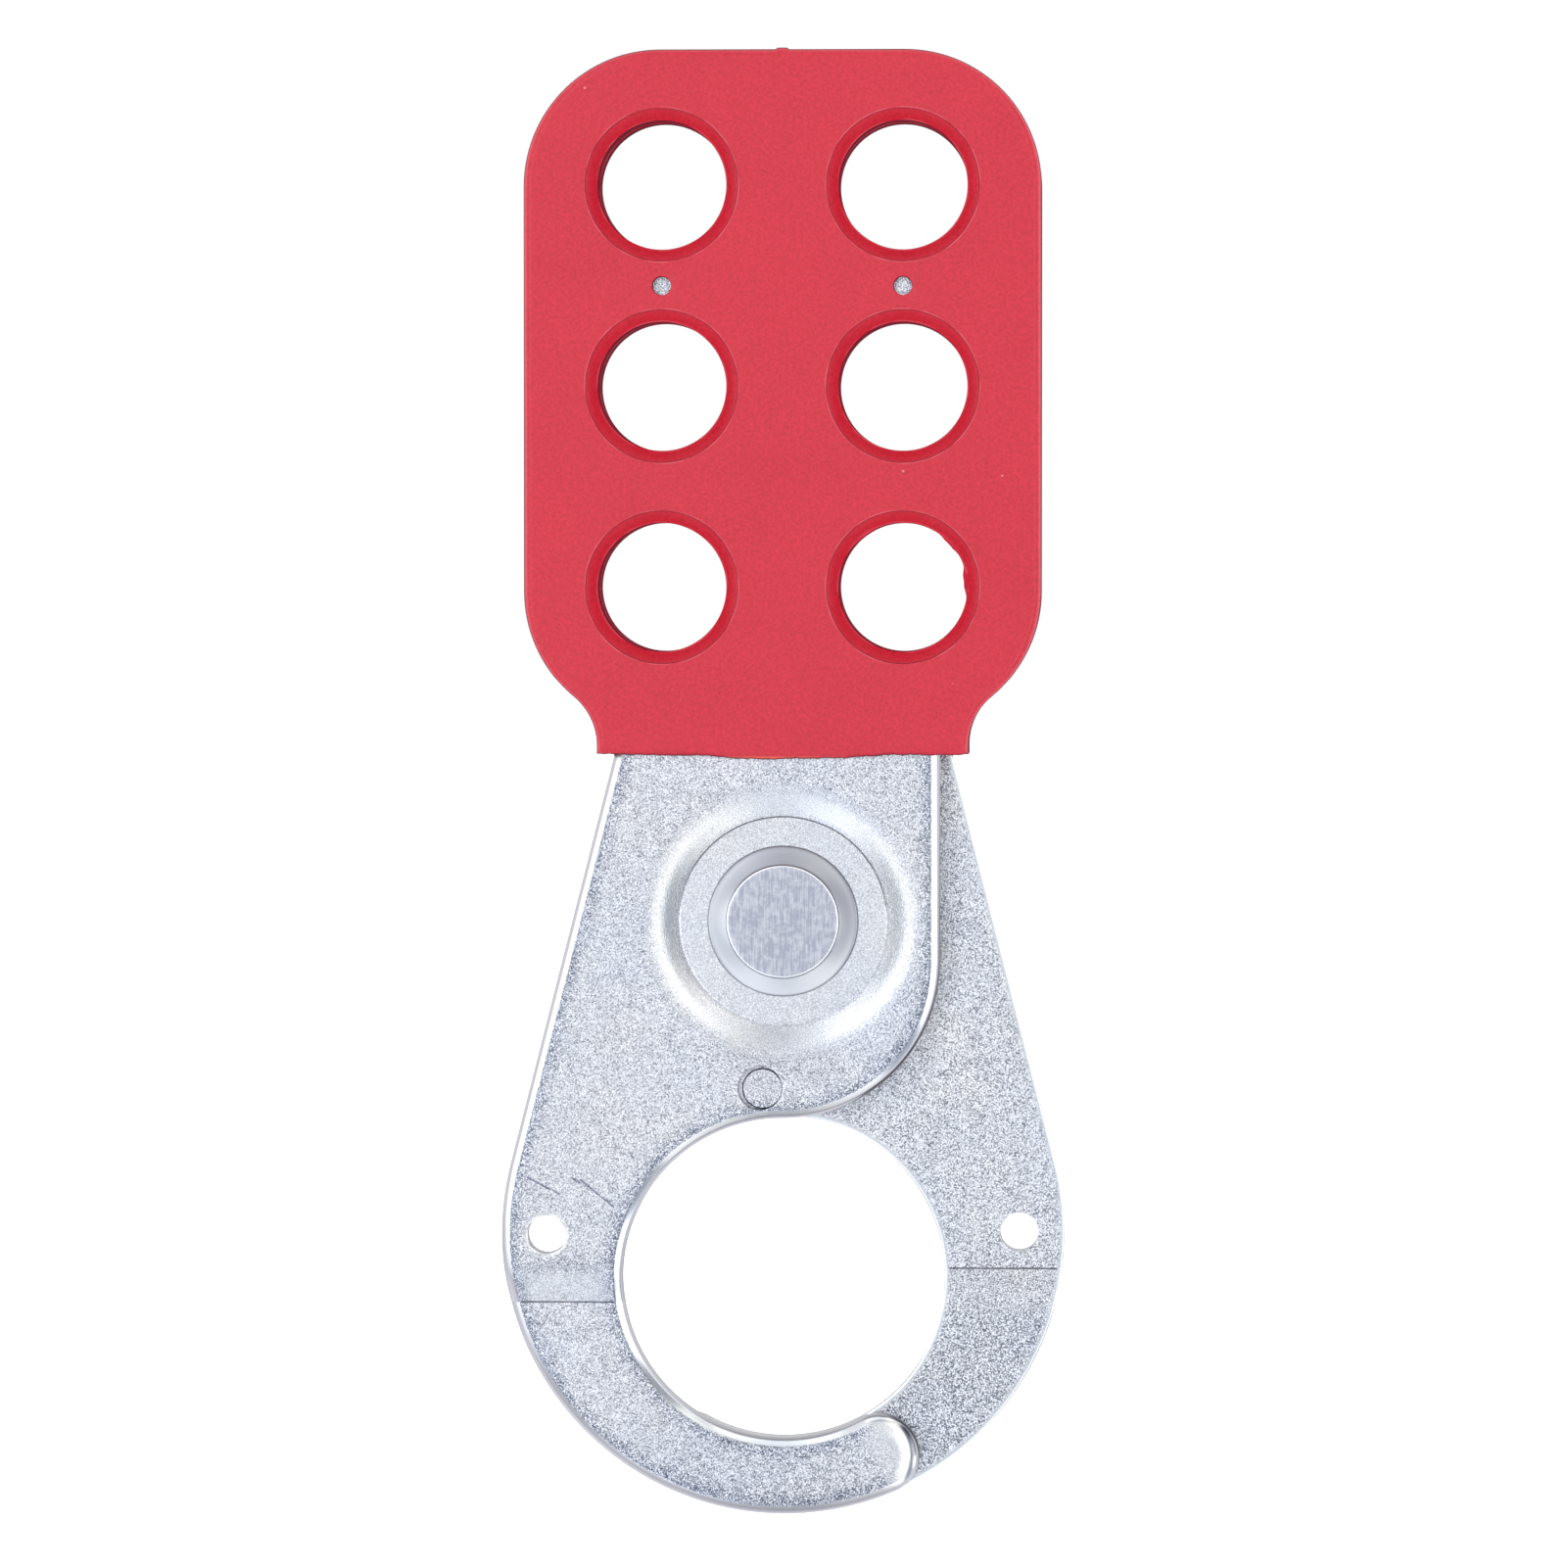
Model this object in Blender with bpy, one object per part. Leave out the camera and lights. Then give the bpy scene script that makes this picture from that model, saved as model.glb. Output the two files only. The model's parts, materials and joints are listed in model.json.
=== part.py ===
"""Lockout hasp: two riveted steel jaws whose handles are covered in red plastic.

The two halves are the same stamping, one turned half a turn about Z to face the other. The hasp
stands in the XZ plane with its jaws at the bottom, its front facing -Y and its halves meeting at
Y = 0. The origin is the closed hasp's lowest point, on its centre line.

Outlines are drawn in a plane (x, z) whose origin is the pivot, in millimetres, and depths are
distances from the mid-plane where the halves meet. Meshes are scaled to metres as they are made.
"""

import math

import bmesh
import bpy
from mathutils import Vector
from mathutils.geometry import delaunay_2d_cdt

MM = 0.001

# Jaws: a ring whose outside and inside circles are a little off centre from each other
JAW_RADIUS = 12.65          # 25.3 mm opening, for a 25 mm (1 inch) jaw
JAW_DROP = 28.2             # from the pivot down to the opening's centre
RING_RADIUS = 22.2
RING_DROP = 24.7
TIP_RADIUS = 3.2            # full round at the end of each hook
ARM_ANGLE = math.radians(14.3)      # lean of the straight edge above the ring
INNER_EDGE = 12.35          # the straight edge on the other side, and the arc under it
TETHER_HOLE_RADIUS = 1.5
TETHER_HOLE_OFFSET = 18.6   # sideways from the centre line, level with the ring's centre

# Handle, as covered
HANDLE_HALF_WIDTH = 20.3
HANDLE_TOP = 68.35
CORNER_RADIUS = 10.7
LOWER_CORNER_HEIGHT = 25.9
NECK_HALF_WIDTH = 14.6
NECK_FILLET = 5.0
COVER_BOTTOM = 13.1
PADLOCK_HOLE_RADIUS = 5.05
PADLOCK_RIM_RADIUS = 6.0
PADLOCK_RIM_DEPTH = 0.4
PADLOCK_HALF_SPREAD = 9.45
PADLOCK_PITCH = 15.75
PADLOCK_LOWEST = 26.25
PADLOCK_ROWS = 3

# Depths from the mid-plane
HALF_GAP = 0.05             # each half's share of the running gap between them
COAT = 0.9                  # plastic over each face of the blade
STEEL = 2.0
COAT_AT_EDGE = 1.0          # plastic around the blade's outline and inside its holes
COVER_CLEARANCE = 0.1       # between the blade and the cover's pocket

# Pressed features of each plate
DISH_FLOOR_RADIUS = 8.2     # the dish presses the pivot area in to the mid-plane
DISH_RIM_RADIUS = 10.5
STEP_TOP = -27.6            # the hook steps in to the mid-plane between these heights
STEP_BOTTOM = -30.1
STOP_X = -1.78              # half-pierced stop: a recess outside and a boss inside
STOP_Z = -13.1
STOP_RADIUS = 1.77
STOP_DRAFT = 0.05
STOP_HEIGHT = 1.3

# Rivet
SHANK_RADIUS = 4.0
RIVET_HOLE_RADIUS = 4.08
HEAD_RADIUS = 5.95
HEAD_SHOULDER_RADIUS = 5.2
HEAD_FLAT_RADIUS = 4.5
HEAD_RIM = 0.15
HEAD_SHOULDER = 0.55
HEAD_HEIGHT = 1.2
HEAD_CLEARANCE = 0.05

# Faceting
FACET_SAG = 0.04            # how far a chord may fall inside its arc
WELD = 1e-5
SHARP_ANGLE = math.radians(30)

PIVOT_HEIGHT = RING_RADIUS + RING_DROP
JAW_CENTRE = Vector((0, -JAW_DROP))
RING_CENTRE = Vector((0, -RING_DROP))
BLADE_INNER = HALF_GAP + COAT
COVER_OUTER = HALF_GAP + 2 * COAT + STEEL
HALF_TURN = math.pi


# Plane geometry

def arc_step(radius):
    return 2 * math.acos(1 - FACET_SAG / radius)


def arc(centre, radius, start, end):
    """Points along an arc from the start angle to the end angle, whichever way that goes."""
    count = max(2, math.ceil(abs(end - start) / arc_step(radius)))
    angles = [start + (end - start) * i / count for i in range(count + 1)]
    return [(centre[0] + radius * math.cos(a), centre[1] + radius * math.sin(a)) for a in angles]


def circle(centre, radius):
    return arc(centre, radius, 0, 2 * math.pi)[:-1]


def heading(vector):
    return math.atan2(vector[1], vector[0])


def tip_centre():
    """Centre of the hook's round end, which touches the outside circle and the opening."""
    outer = RING_RADIUS - TIP_RADIUS
    inner = JAW_RADIUS + TIP_RADIUS
    spread = JAW_DROP - RING_DROP
    drop = RING_DROP + (outer ** 2 - inner ** 2 + spread ** 2) / (2 * spread)
    return Vector((math.sqrt(outer ** 2 - (drop - RING_DROP) ** 2), -drop))


def neck_fillet(foot, upward, outward, corner, corner_radius, fillet_radius):
    """Centre of the fillet between a neck edge and the corner arc above it.

    The edge runs through foot along upward, and outward points away from the material.
    """
    offset = foot + outward * fillet_radius - corner
    along = offset.dot(upward)
    reach = corner_radius + fillet_radius
    rise = -along - math.sqrt(along ** 2 - offset.length_squared + reach ** 2)
    return foot + outward * fillet_radius + upward * rise


def handle_outline(inset, right_edge, left_edge):
    """The handle's outline, anticlockwise from the right neck edge over the top to the left one.

    Each edge is a point on it and its upward direction.
    """
    radius = CORNER_RADIUS - inset
    across = HANDLE_HALF_WIDTH - CORNER_RADIUS
    low = LOWER_CORNER_HEIGHT
    high = HANDLE_TOP - CORNER_RADIUS
    right_foot, right_up = right_edge
    left_foot, left_up = left_edge
    right_out = Vector((right_up.y, -right_up.x))
    left_out = Vector((-left_up.y, left_up.x))
    right_corner = Vector((across, low))
    left_corner = Vector((-across, low))
    right = neck_fillet(right_foot, right_up, right_out, right_corner, radius, NECK_FILLET)
    left = neck_fillet(left_foot, left_up, left_out, left_corner, radius, NECK_FILLET)
    right_join = heading(right - right_corner)
    left_join = heading(left - left_corner) + 2 * math.pi
    points = arc(right, NECK_FILLET, heading(-right_out) % (2 * math.pi), right_join + math.pi)
    points += arc(right_corner, radius, right_join, 0)[1:]
    points += arc((across, high), radius, 0, math.pi / 2)
    points += arc((-across, high), radius, math.pi / 2, math.pi)
    points += arc(left_corner, radius, math.pi, left_join)
    points += arc(left, NECK_FILLET, left_join - math.pi, heading(-left_out))[1:]
    return points


def padlock_centres():
    rows = [PADLOCK_LOWEST + PADLOCK_PITCH * i for i in range(PADLOCK_ROWS)]
    return [(x, z) for z in rows for x in (-PADLOCK_HALF_SPREAD, PADLOCK_HALF_SPREAD)]


def arm_edge(grow=0):
    """The plate's leaning left edge, moved outward by grow."""
    upward = Vector((math.sin(ARM_ANGLE), math.cos(ARM_ANGLE)))
    outward = Vector((-upward.y, upward.x))
    return RING_CENTRE + outward * (RING_RADIUS + grow), upward


def neck_edge(grow=0):
    """The plate's upright right edge, moved outward by grow."""
    return Vector((INNER_EDGE + grow, 0)), Vector((0, 1))


def plate_outline():
    """One jaw plate, anticlockwise from the foot of its leaning edge."""
    tip = tip_centre()
    tip_heading = heading(tip - RING_CENTRE)
    jaw_heading = heading(tip - JAW_CENTRE)
    arc_centre = (0, JAW_RADIUS + INNER_EDGE - JAW_DROP)
    points = arc(RING_CENTRE, RING_RADIUS, math.pi - ARM_ANGLE, 1.5 * math.pi)
    points += arc(RING_CENTRE, RING_RADIUS, 1.5 * math.pi, tip_heading + 2 * math.pi)[1:]
    points += arc(tip, TIP_RADIUS, tip_heading, jaw_heading + math.pi)[1:]
    points += arc(JAW_CENTRE, JAW_RADIUS, jaw_heading + 2 * math.pi, math.pi / 2)[1:]
    points += arc(arc_centre, INNER_EDGE, -math.pi / 2, 0)[1:]
    return points + handle_outline(COAT_AT_EDGE, neck_edge(), arm_edge())


def cover_outline():
    right_edge = Vector((NECK_HALF_WIDTH, COVER_BOTTOM)), Vector((0, 1))
    left_edge = Vector((-NECK_HALF_WIDTH, COVER_BOTTOM)), Vector((0, 1))
    feet = [tuple(left_edge[0]), tuple(right_edge[0])]
    return feet + handle_outline(0, right_edge, left_edge)


def pocket_outline():
    """The blade's outline with clearance, run out below the cover."""
    below = COVER_BOTTOM - NECK_FILLET
    right_edge = neck_edge(COVER_CLEARANCE)
    left_edge = arm_edge(COVER_CLEARANCE)
    foot, upward = left_edge
    left_foot = foot + upward * ((below - foot.y) / upward.y)
    feet = [tuple(left_foot), (right_edge[0].x, below)]
    return feet + handle_outline(COAT_AT_EDGE - COVER_CLEARANCE, right_edge, left_edge)


def inside(point, loop):
    """Even-odd test of a point against a closed loop."""
    x, z = point
    result = False
    for (x0, z0), (x1, z1) in zip(loop, loop[1:] + loop[:1]):
        if (z0 > z) != (z1 > z) and x < x0 + (z - z0) * (x1 - x0) / (z1 - z0):
            result = not result
    return result


def triangulate(outline, holes, creases=(), lines=()):
    """Triangles that fill outline around holes, with edges along closed creases and open lines."""
    points = []
    edges = []
    for loop in (outline, *holes, *creases):
        first = len(points)
        points += loop
        edges += [(first + i, first + (i + 1) % len(loop)) for i in range(len(loop))]
    for line in lines:
        edges.append((len(points), len(points) + 1))
        points += line
    result = delaunay_2d_cdt([Vector(p) for p in points], edges, [], 0, WELD)
    corners = [tuple(v) for v in result[0]]
    triangles = []
    for face in result[2]:
        middle = [sum(corners[i][axis] for i in face) / len(face) for axis in (0, 1)]
        if inside(middle, outline) and not any(inside(middle, hole) for hole in holes):
            triangles.append(face)
    return corners, triangles


# Solids

def to_mesh(name, bm):
    """Finish a bmesh that is in millimetres as a mesh in metres."""
    bmesh.ops.recalc_face_normals(bm, faces=bm.faces)
    bmesh.ops.scale(bm, vec=(MM, MM, MM), verts=bm.verts)
    mesh = bpy.data.meshes.new(name)
    bm.to_mesh(mesh)
    bm.free()
    mesh.shade_smooth()
    mesh.set_sharp_from_angle(angle=SHARP_ANGLE)
    return mesh


def pressed_sheet(name, sheet, inner_depth, outer_depth):
    """A closed solid on a triangulated sheet, between two depths in front of the mid-plane."""
    corners, triangles = sheet
    bm = bmesh.new()
    verts = [bm.verts.new((x, -outer_depth(x, z), z)) for x, z in corners]
    for triangle in triangles:
        bm.faces.new([verts[i] for i in triangle])
    extruded = bmesh.ops.extrude_face_region(bm, geom=bm.faces[:])
    for vert in extruded["geom"]:
        if isinstance(vert, bmesh.types.BMVert):
            vert.co.y = -inner_depth(vert.co.x, vert.co.z)
    bmesh.ops.delete(bm, geom=[v for v in bm.verts if not v.link_faces], context="VERTS")
    return to_mesh(name, bm)


def ramp(value, low, high):
    return min(1, max(0, (value - low) / (high - low)))


def plate_mesh():
    """The jaw plate: a flat blank with the dish, the stepped hook and the stop pressed into it."""
    stop = (STOP_X, STOP_Z)

    def inner_depth(x, z):
        dish = ramp(math.hypot(x, z), DISH_FLOOR_RADIUS, DISH_RIM_RADIUS)
        step = ramp(z, STEP_BOTTOM, STEP_TOP)
        boss = 1 - ramp(math.dist((x, z), stop), STOP_RADIUS - STOP_DRAFT, STOP_RADIUS)
        return HALF_GAP + COAT * min(dish, step) - STOP_HEIGHT * boss

    holes = [circle(centre, PADLOCK_HOLE_RADIUS + COAT_AT_EDGE) for centre in padlock_centres()]
    holes.append(circle((0, 0), RIVET_HOLE_RADIUS))
    holes.append(circle((-TETHER_HOLE_OFFSET, -RING_DROP), TETHER_HOLE_RADIUS))
    creases = [circle((0, 0), radius) for radius in (DISH_FLOOR_RADIUS, DISH_RIM_RADIUS)]
    creases += [circle(stop, radius) for radius in (STOP_RADIUS - STOP_DRAFT, STOP_RADIUS)]
    lines = [[(-RING_RADIUS - STEEL, z), (0, z)] for z in (STEP_TOP, STEP_BOTTOM)]
    sheet = triangulate(plate_outline(), holes, creases, lines)
    return pressed_sheet("jaw_plate", sheet, inner_depth, lambda x, z: inner_depth(x, z) + STEEL)


def cover_mesh():
    """The cover's outside, with the sunken rims of its padlock holes, before its pocket is cut."""
    centres = padlock_centres()

    def rim_depth(x, z):
        nearest = min(math.dist((x, z), centre) for centre in centres)
        return PADLOCK_RIM_DEPTH * (1 - ramp(nearest, PADLOCK_HOLE_RADIUS, PADLOCK_RIM_RADIUS))

    holes = [circle(centre, PADLOCK_HOLE_RADIUS) for centre in centres]
    rims = [circle(centre, PADLOCK_RIM_RADIUS) for centre in centres]
    sheet = triangulate(cover_outline(), holes, rims)
    return pressed_sheet("handle_cover", sheet, lambda x, z: HALF_GAP + rim_depth(x, z),
                         lambda x, z: COVER_OUTER - rim_depth(x, z))


def pocket_mesh():
    """The pocket the blade sits in, with columns left standing where the padlock holes are lined."""
    radius = PADLOCK_HOLE_RADIUS + COAT_AT_EDGE - COVER_CLEARANCE
    sheet = triangulate(pocket_outline(), [circle(centre, radius) for centre in padlock_centres()])
    inner = BLADE_INNER - COVER_CLEARANCE
    outer = BLADE_INNER + STEEL + COVER_CLEARANCE
    return pressed_sheet("cover_pocket", sheet, lambda x, z: inner, lambda x, z: outer)


def rivet_mesh():
    """The rivet turned about Y, with the same two-stage head at both ends."""
    seat = HALF_GAP + STEEL + HEAD_CLEARANCE
    head = [
        (0, seat + HEAD_HEIGHT),
        (HEAD_FLAT_RADIUS - HEAD_RIM, seat + HEAD_HEIGHT),
        (HEAD_FLAT_RADIUS, seat + HEAD_HEIGHT - HEAD_RIM),
        (HEAD_SHOULDER_RADIUS, seat + HEAD_SHOULDER),
        (HEAD_RADIUS, seat + HEAD_RIM),
        (HEAD_RADIUS, seat),
        (SHANK_RADIUS, seat),
    ]
    profile = head + [(radius, -depth) for radius, depth in reversed(head)]
    bm = bmesh.new()
    verts = [bm.verts.new((radius, depth, 0)) for radius, depth in profile]
    edges = [bm.edges.new(pair) for pair in zip(verts, verts[1:])]
    steps = math.ceil(2 * math.pi / arc_step(HEAD_RADIUS))
    bmesh.ops.spin(bm, geom=verts + edges, cent=(0, 0, 0), axis=(0, 1, 0), angle=2 * math.pi,
                   steps=steps, use_merge=True)
    bmesh.ops.remove_doubles(bm, verts=bm.verts, dist=WELD)
    return to_mesh("pivot_rivet", bm)


# Materials and objects

def material(name, colour, roughness, metallic):
    result = bpy.data.materials.new(name)
    result.use_nodes = True
    shader = result.node_tree.nodes["Principled BSDF"]
    shader.inputs["Base Color"].default_value = (*colour, 1)
    shader.inputs["Roughness"].default_value = roughness
    shader.inputs["Metallic"].default_value = metallic
    return result


def empty(name, parent=None, height=0.0):
    """An empty on the pivot's axis."""
    result = bpy.data.objects.new(name, None)
    result.parent = parent
    result.location.z = height
    bpy.context.scene.collection.objects.link(result)
    return result


def piece(name, mesh, parent, turn, finish):
    """A piece on the pivot's axis, turned about Z for the rear half."""
    result = bpy.data.objects.new(name, mesh)
    result.parent = parent
    result.rotation_euler.z = turn
    bpy.context.scene.collection.objects.link(result)
    if finish and finish.name not in mesh.materials:
        mesh.materials.append(finish)
    return result


def cut_pocket(cover, pocket, parent, turn):
    """Cut the blade's pocket out of a cover."""
    cutter = piece(cover.name + "_pocket", pocket, parent, turn, None)
    cutter.hide_render = True
    cutter.display_type = "WIRE"
    cut = cover.modifiers.new("pocket", "BOOLEAN")
    cut.operation = "DIFFERENCE"
    cut.solver = "EXACT"
    cut.object = cutter


for old in list(bpy.data.objects):
    bpy.data.objects.remove(old, do_unlink=True)

zinc = material("zinc_plated_steel", (0.62, 0.65, 0.70), 0.38, 1.0)
rivet_steel = material("rivet_steel", (0.58, 0.59, 0.65), 0.30, 1.0)
red_plastic = material("red_plastic", (0.68, 0.055, 0.085), 0.45, 0.0)

plate = plate_mesh()
cover_shape = cover_mesh()
pocket_shape = pocket_mesh()

pivot = empty("pivot", height=PIVOT_HEIGHT * MM)
front_half = empty("front_half", parent=pivot)

for side, half, half_turn in (("front", front_half, 0), ("rear", pivot, HALF_TURN)):
    piece(side + "_jaw_plate", plate, half, half_turn, zinc)
    cover_piece = piece(side + "_handle_cover", cover_shape, half, half_turn, red_plastic)
    cut_pocket(cover_piece, pocket_shape, half, half_turn)

piece("pivot_rivet", rivet_mesh(), pivot, 0, rivet_steel)
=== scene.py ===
"""Lockout hasp, visual model: stamped zinc-plated jaws, red moulded handle covers and a rivet.

Each piece is a fine version of one CAD node. Outlines are drawn in a plane (x, z) whose origin is
the pivot, in millimetres, and depths are distances from the mid-plane where the halves meet. The
front half faces -Y and the rear half is the same stamping turned half a turn about Z.
"""

import json
import math
from types import SimpleNamespace

import bpy
import numpy as np
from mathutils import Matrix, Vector
from mathutils.geometry import delaunay_2d_cdt


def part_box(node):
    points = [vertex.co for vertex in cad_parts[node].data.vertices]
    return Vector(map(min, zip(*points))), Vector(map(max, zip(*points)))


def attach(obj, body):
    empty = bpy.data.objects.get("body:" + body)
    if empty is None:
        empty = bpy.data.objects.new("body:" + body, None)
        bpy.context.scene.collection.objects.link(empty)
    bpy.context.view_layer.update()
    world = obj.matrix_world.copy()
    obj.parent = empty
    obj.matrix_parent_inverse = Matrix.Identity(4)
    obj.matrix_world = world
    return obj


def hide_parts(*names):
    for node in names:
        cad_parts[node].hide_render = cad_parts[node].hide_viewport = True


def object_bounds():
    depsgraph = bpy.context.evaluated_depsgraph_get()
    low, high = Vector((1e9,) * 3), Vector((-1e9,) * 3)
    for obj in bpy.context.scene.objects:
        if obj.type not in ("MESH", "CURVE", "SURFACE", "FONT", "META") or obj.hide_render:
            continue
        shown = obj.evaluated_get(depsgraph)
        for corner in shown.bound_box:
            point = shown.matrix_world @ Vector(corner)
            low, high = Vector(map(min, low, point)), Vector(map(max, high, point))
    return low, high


MM = 0.001

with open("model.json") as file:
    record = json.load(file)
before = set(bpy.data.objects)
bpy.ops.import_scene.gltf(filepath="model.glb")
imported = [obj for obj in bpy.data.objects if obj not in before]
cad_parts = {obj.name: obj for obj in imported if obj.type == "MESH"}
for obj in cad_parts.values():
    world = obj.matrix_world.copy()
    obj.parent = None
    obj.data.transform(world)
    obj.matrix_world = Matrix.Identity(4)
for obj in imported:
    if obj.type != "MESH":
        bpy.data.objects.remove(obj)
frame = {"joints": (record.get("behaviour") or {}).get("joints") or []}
cad_box = [list(corner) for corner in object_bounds()]
PIVOT = Vector(frame["joints"][0]["pos_m"])


def node_box(name):
    """A CAD node's box in millimetres from the pivot."""
    return [(corner - PIVOT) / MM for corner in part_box(name)]


PLATE_LOW, _ = node_box("front_jaw_plate")
COVER_LOW, COVER_HIGH = node_box("front_handle_cover")
_, RIVET_HIGH = node_box("pivot_rivet")

# Jaws: a ring whose outside and inside circles are a little off centre from each other
JAW_RADIUS = 12.65
JAW_DROP = 28.2
RING_RADIUS = 22.2
RING_DROP = -PLATE_LOW.z - RING_RADIUS
TIP_RADIUS = 3.2
TIP_POINTS = 24
ARM_ANGLE = math.radians(14.3)
INNER_EDGE = 12.35
TETHER_HOLE_RADIUS = 1.5
TETHER_HOLE_OFFSET = 18.6

# Handle
HANDLE_HALF_WIDTH = COVER_HIGH.x
HANDLE_TOP = COVER_HIGH.z
CORNER_RADIUS = 10.7
LOWER_CORNER_HEIGHT = 25.9
NECK_HALF_WIDTH = 14.6
NECK_FILLET = 5.0
COVER_BOTTOM = COVER_LOW.z
COVER_FOOT_POINTS = 240
GATE_STUB_POINTS = [0.1 * i for i in range(9, -10, -1)]
PADLOCK_HOLE_RADIUS = 5.05
PADLOCK_HALF_SPREAD = 9.45
PADLOCK_PITCH = 15.75
PADLOCK_LOWEST = 26.25
PADLOCK_ROWS = 3

# Depths from the mid-plane
HALF_GAP = -COVER_HIGH.y
STEEL = 2.0
COVER_OUTER = -COVER_LOW.y
COAT = (COVER_OUTER - HALF_GAP - STEEL) / 2
COAT_AT_EDGE = 1.0
BLADE_INNER = HALF_GAP + COAT
BLADE_OUTER = BLADE_INNER + STEEL
BOND = 0.01  # a hair's gap between the blade and its cover

# Pressed features
PIVOT_HOLE_RADIUS = 4.1
DISH_FLOOR_RADIUS = 8.2
DISH_BEND_RADIUS = 9.1
DISH_RIM_RADIUS = 11.5
DISH_INNER_FLOOR = 7.7  # the dish on the plate's inner face
DISH_INNER_RIM = 10.6
DISH_INNER_RUN = 1.6
CREASE_WIDTH = 0.07  # fine lines around the dish floor and along the step's sharp bends
CREASE_DEPTH = 0.05
DISH_CREASE_LEAST = 0.35  # the dish's crease is finer on its lower side
DISH_CREASE_HEIGHTS = (-1.5, 5.0)
STEP_OUTER_CREASE = 1.6
STEP_INNER_CREASE = 1.2
STEP_TOP = -27.6
STEP_BOTTOM = -30.1
STEP_SOFT = 1.0  # how far the soft end of the step's bend runs on
STEP_RUN = 2.0
STEP_CREASE_INSET = (0.8, 0.3)  # its creases stop short of the edge, outside and inside
STOP_X = -1.78
STOP_Z = -13.1
STOP_RADIUS = 1.77
STOP_HEIGHT = 1.3
STOP_WALL = 0.03
STOP_ROUND = (0.17, 0.1)  # width and height
RECESS_RADIUS = 1.74  # the stop's mark on the outer face, deeper on its lower side
RECESS_WALL = 0.04
RECESS_DEPTH = 0.13
RECESS_SLOPE = 0.06
RECESS_EDGE = (0.41, 0.085)  # a drawn-down edge that is fainter above the recess
RECESS_EDGE_FADE = 0.8
RECESS_EDGE_HEIGHTS = (0.3, 1.5)
SLUG_SHIFT = (0.20, -0.05)  # the pierced slug leaves a thin gap on one side of its recess
SLUG_RADIUS = 1.62
SLUG_EASE = 0.12
SLUG_GAP_DEPTH = 0.20

# Worked edges
ROLL_WIDTH = 0.98  # die roll around the outer face: a slope that eases in, then a round
ROLL_HEIGHT = 0.66
ROLL_RUN = 0.4
ROUND_WIDTH = 0.3
ROUND_HEIGHT = 0.34
END_ROLL_WIDTH = 0.9  # the hook's round end has a tighter roll outside a shallow slope
END_ROLL_HEIGHT = 0.7
END_SLOPE_WIDTH = 1.5
END_SLOPE_HEIGHT = 0.31
END_PAST_TIP = (-0.6, 1.0)  # where that roll takes over, past the tip's centre and away from it
END_REACH = (TIP_RADIUS + 0.1, TIP_RADIUS + 1.5)
BURR_WIDTH = 0.20
BURR_HEIGHT = 0.12
TETHER_ROUND = (0.22, 0.14)  # the tether hole's edge, outside and inside
TETHER_BURR = (0.07, 0.05)
FILLET_WIDTH = 0.65  # moulded fillet around the cover's outer face
FILLET_HEIGHT = 0.60
COVER_INNER_FILLET = 0.2

# Mesh building
SAG = 0.004  # how far an arc's chords may lie inside it
BLOCK_POINTS = 1500
WELD = 1e-5  # points nearer than this become one
SHARP_ANGLE = math.radians(24)
JAW_CENTRE = Vector((0, -JAW_DROP))
RING_CENTRE = Vector((0, -RING_DROP))
TURN = 2 * math.pi


# Plane outlines, each drawn at an inset from the piece's edge

def arc(centre, radius, start, end, inset=0.0, least=2):
    """Points along an arc; their number depends on the radius before the inset."""
    step = 2 * math.acos(1 - SAG / radius)
    count = max(least, math.ceil(abs(end - start) / step))
    size = radius - inset
    angles = [start + (end - start) * i / count for i in range(count + 1)]
    return [(centre[0] + size * math.cos(a), centre[1] + size * math.sin(a)) for a in angles]


def circle(centre, radius, count):
    angles = [TURN * i / count for i in range(count)]
    return [(centre[0] + radius * math.cos(a), centre[1] + radius * math.sin(a)) for a in angles]


def heading(vector):
    return math.atan2(vector[1], vector[0])


def tip_centre():
    """Centre of the hook's round end, which touches the outside circle and the opening."""
    outer = RING_RADIUS - TIP_RADIUS
    inner = JAW_RADIUS + TIP_RADIUS
    spread = JAW_DROP - RING_DROP
    drop = RING_DROP + (outer ** 2 - inner ** 2 + spread ** 2) / (2 * spread)
    return Vector((math.sqrt(outer ** 2 - (drop - RING_DROP) ** 2), -drop))


def neck_fillet(foot, upward, outward, corner, corner_radius):
    """Centre of the fillet between a neck edge and the corner arc above it."""
    offset = foot + outward * NECK_FILLET - corner
    along = offset.dot(upward)
    rise = -along - math.sqrt(along ** 2 - offset.length_squared
                              + (corner_radius + NECK_FILLET) ** 2)
    return foot + outward * NECK_FILLET + upward * rise


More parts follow.
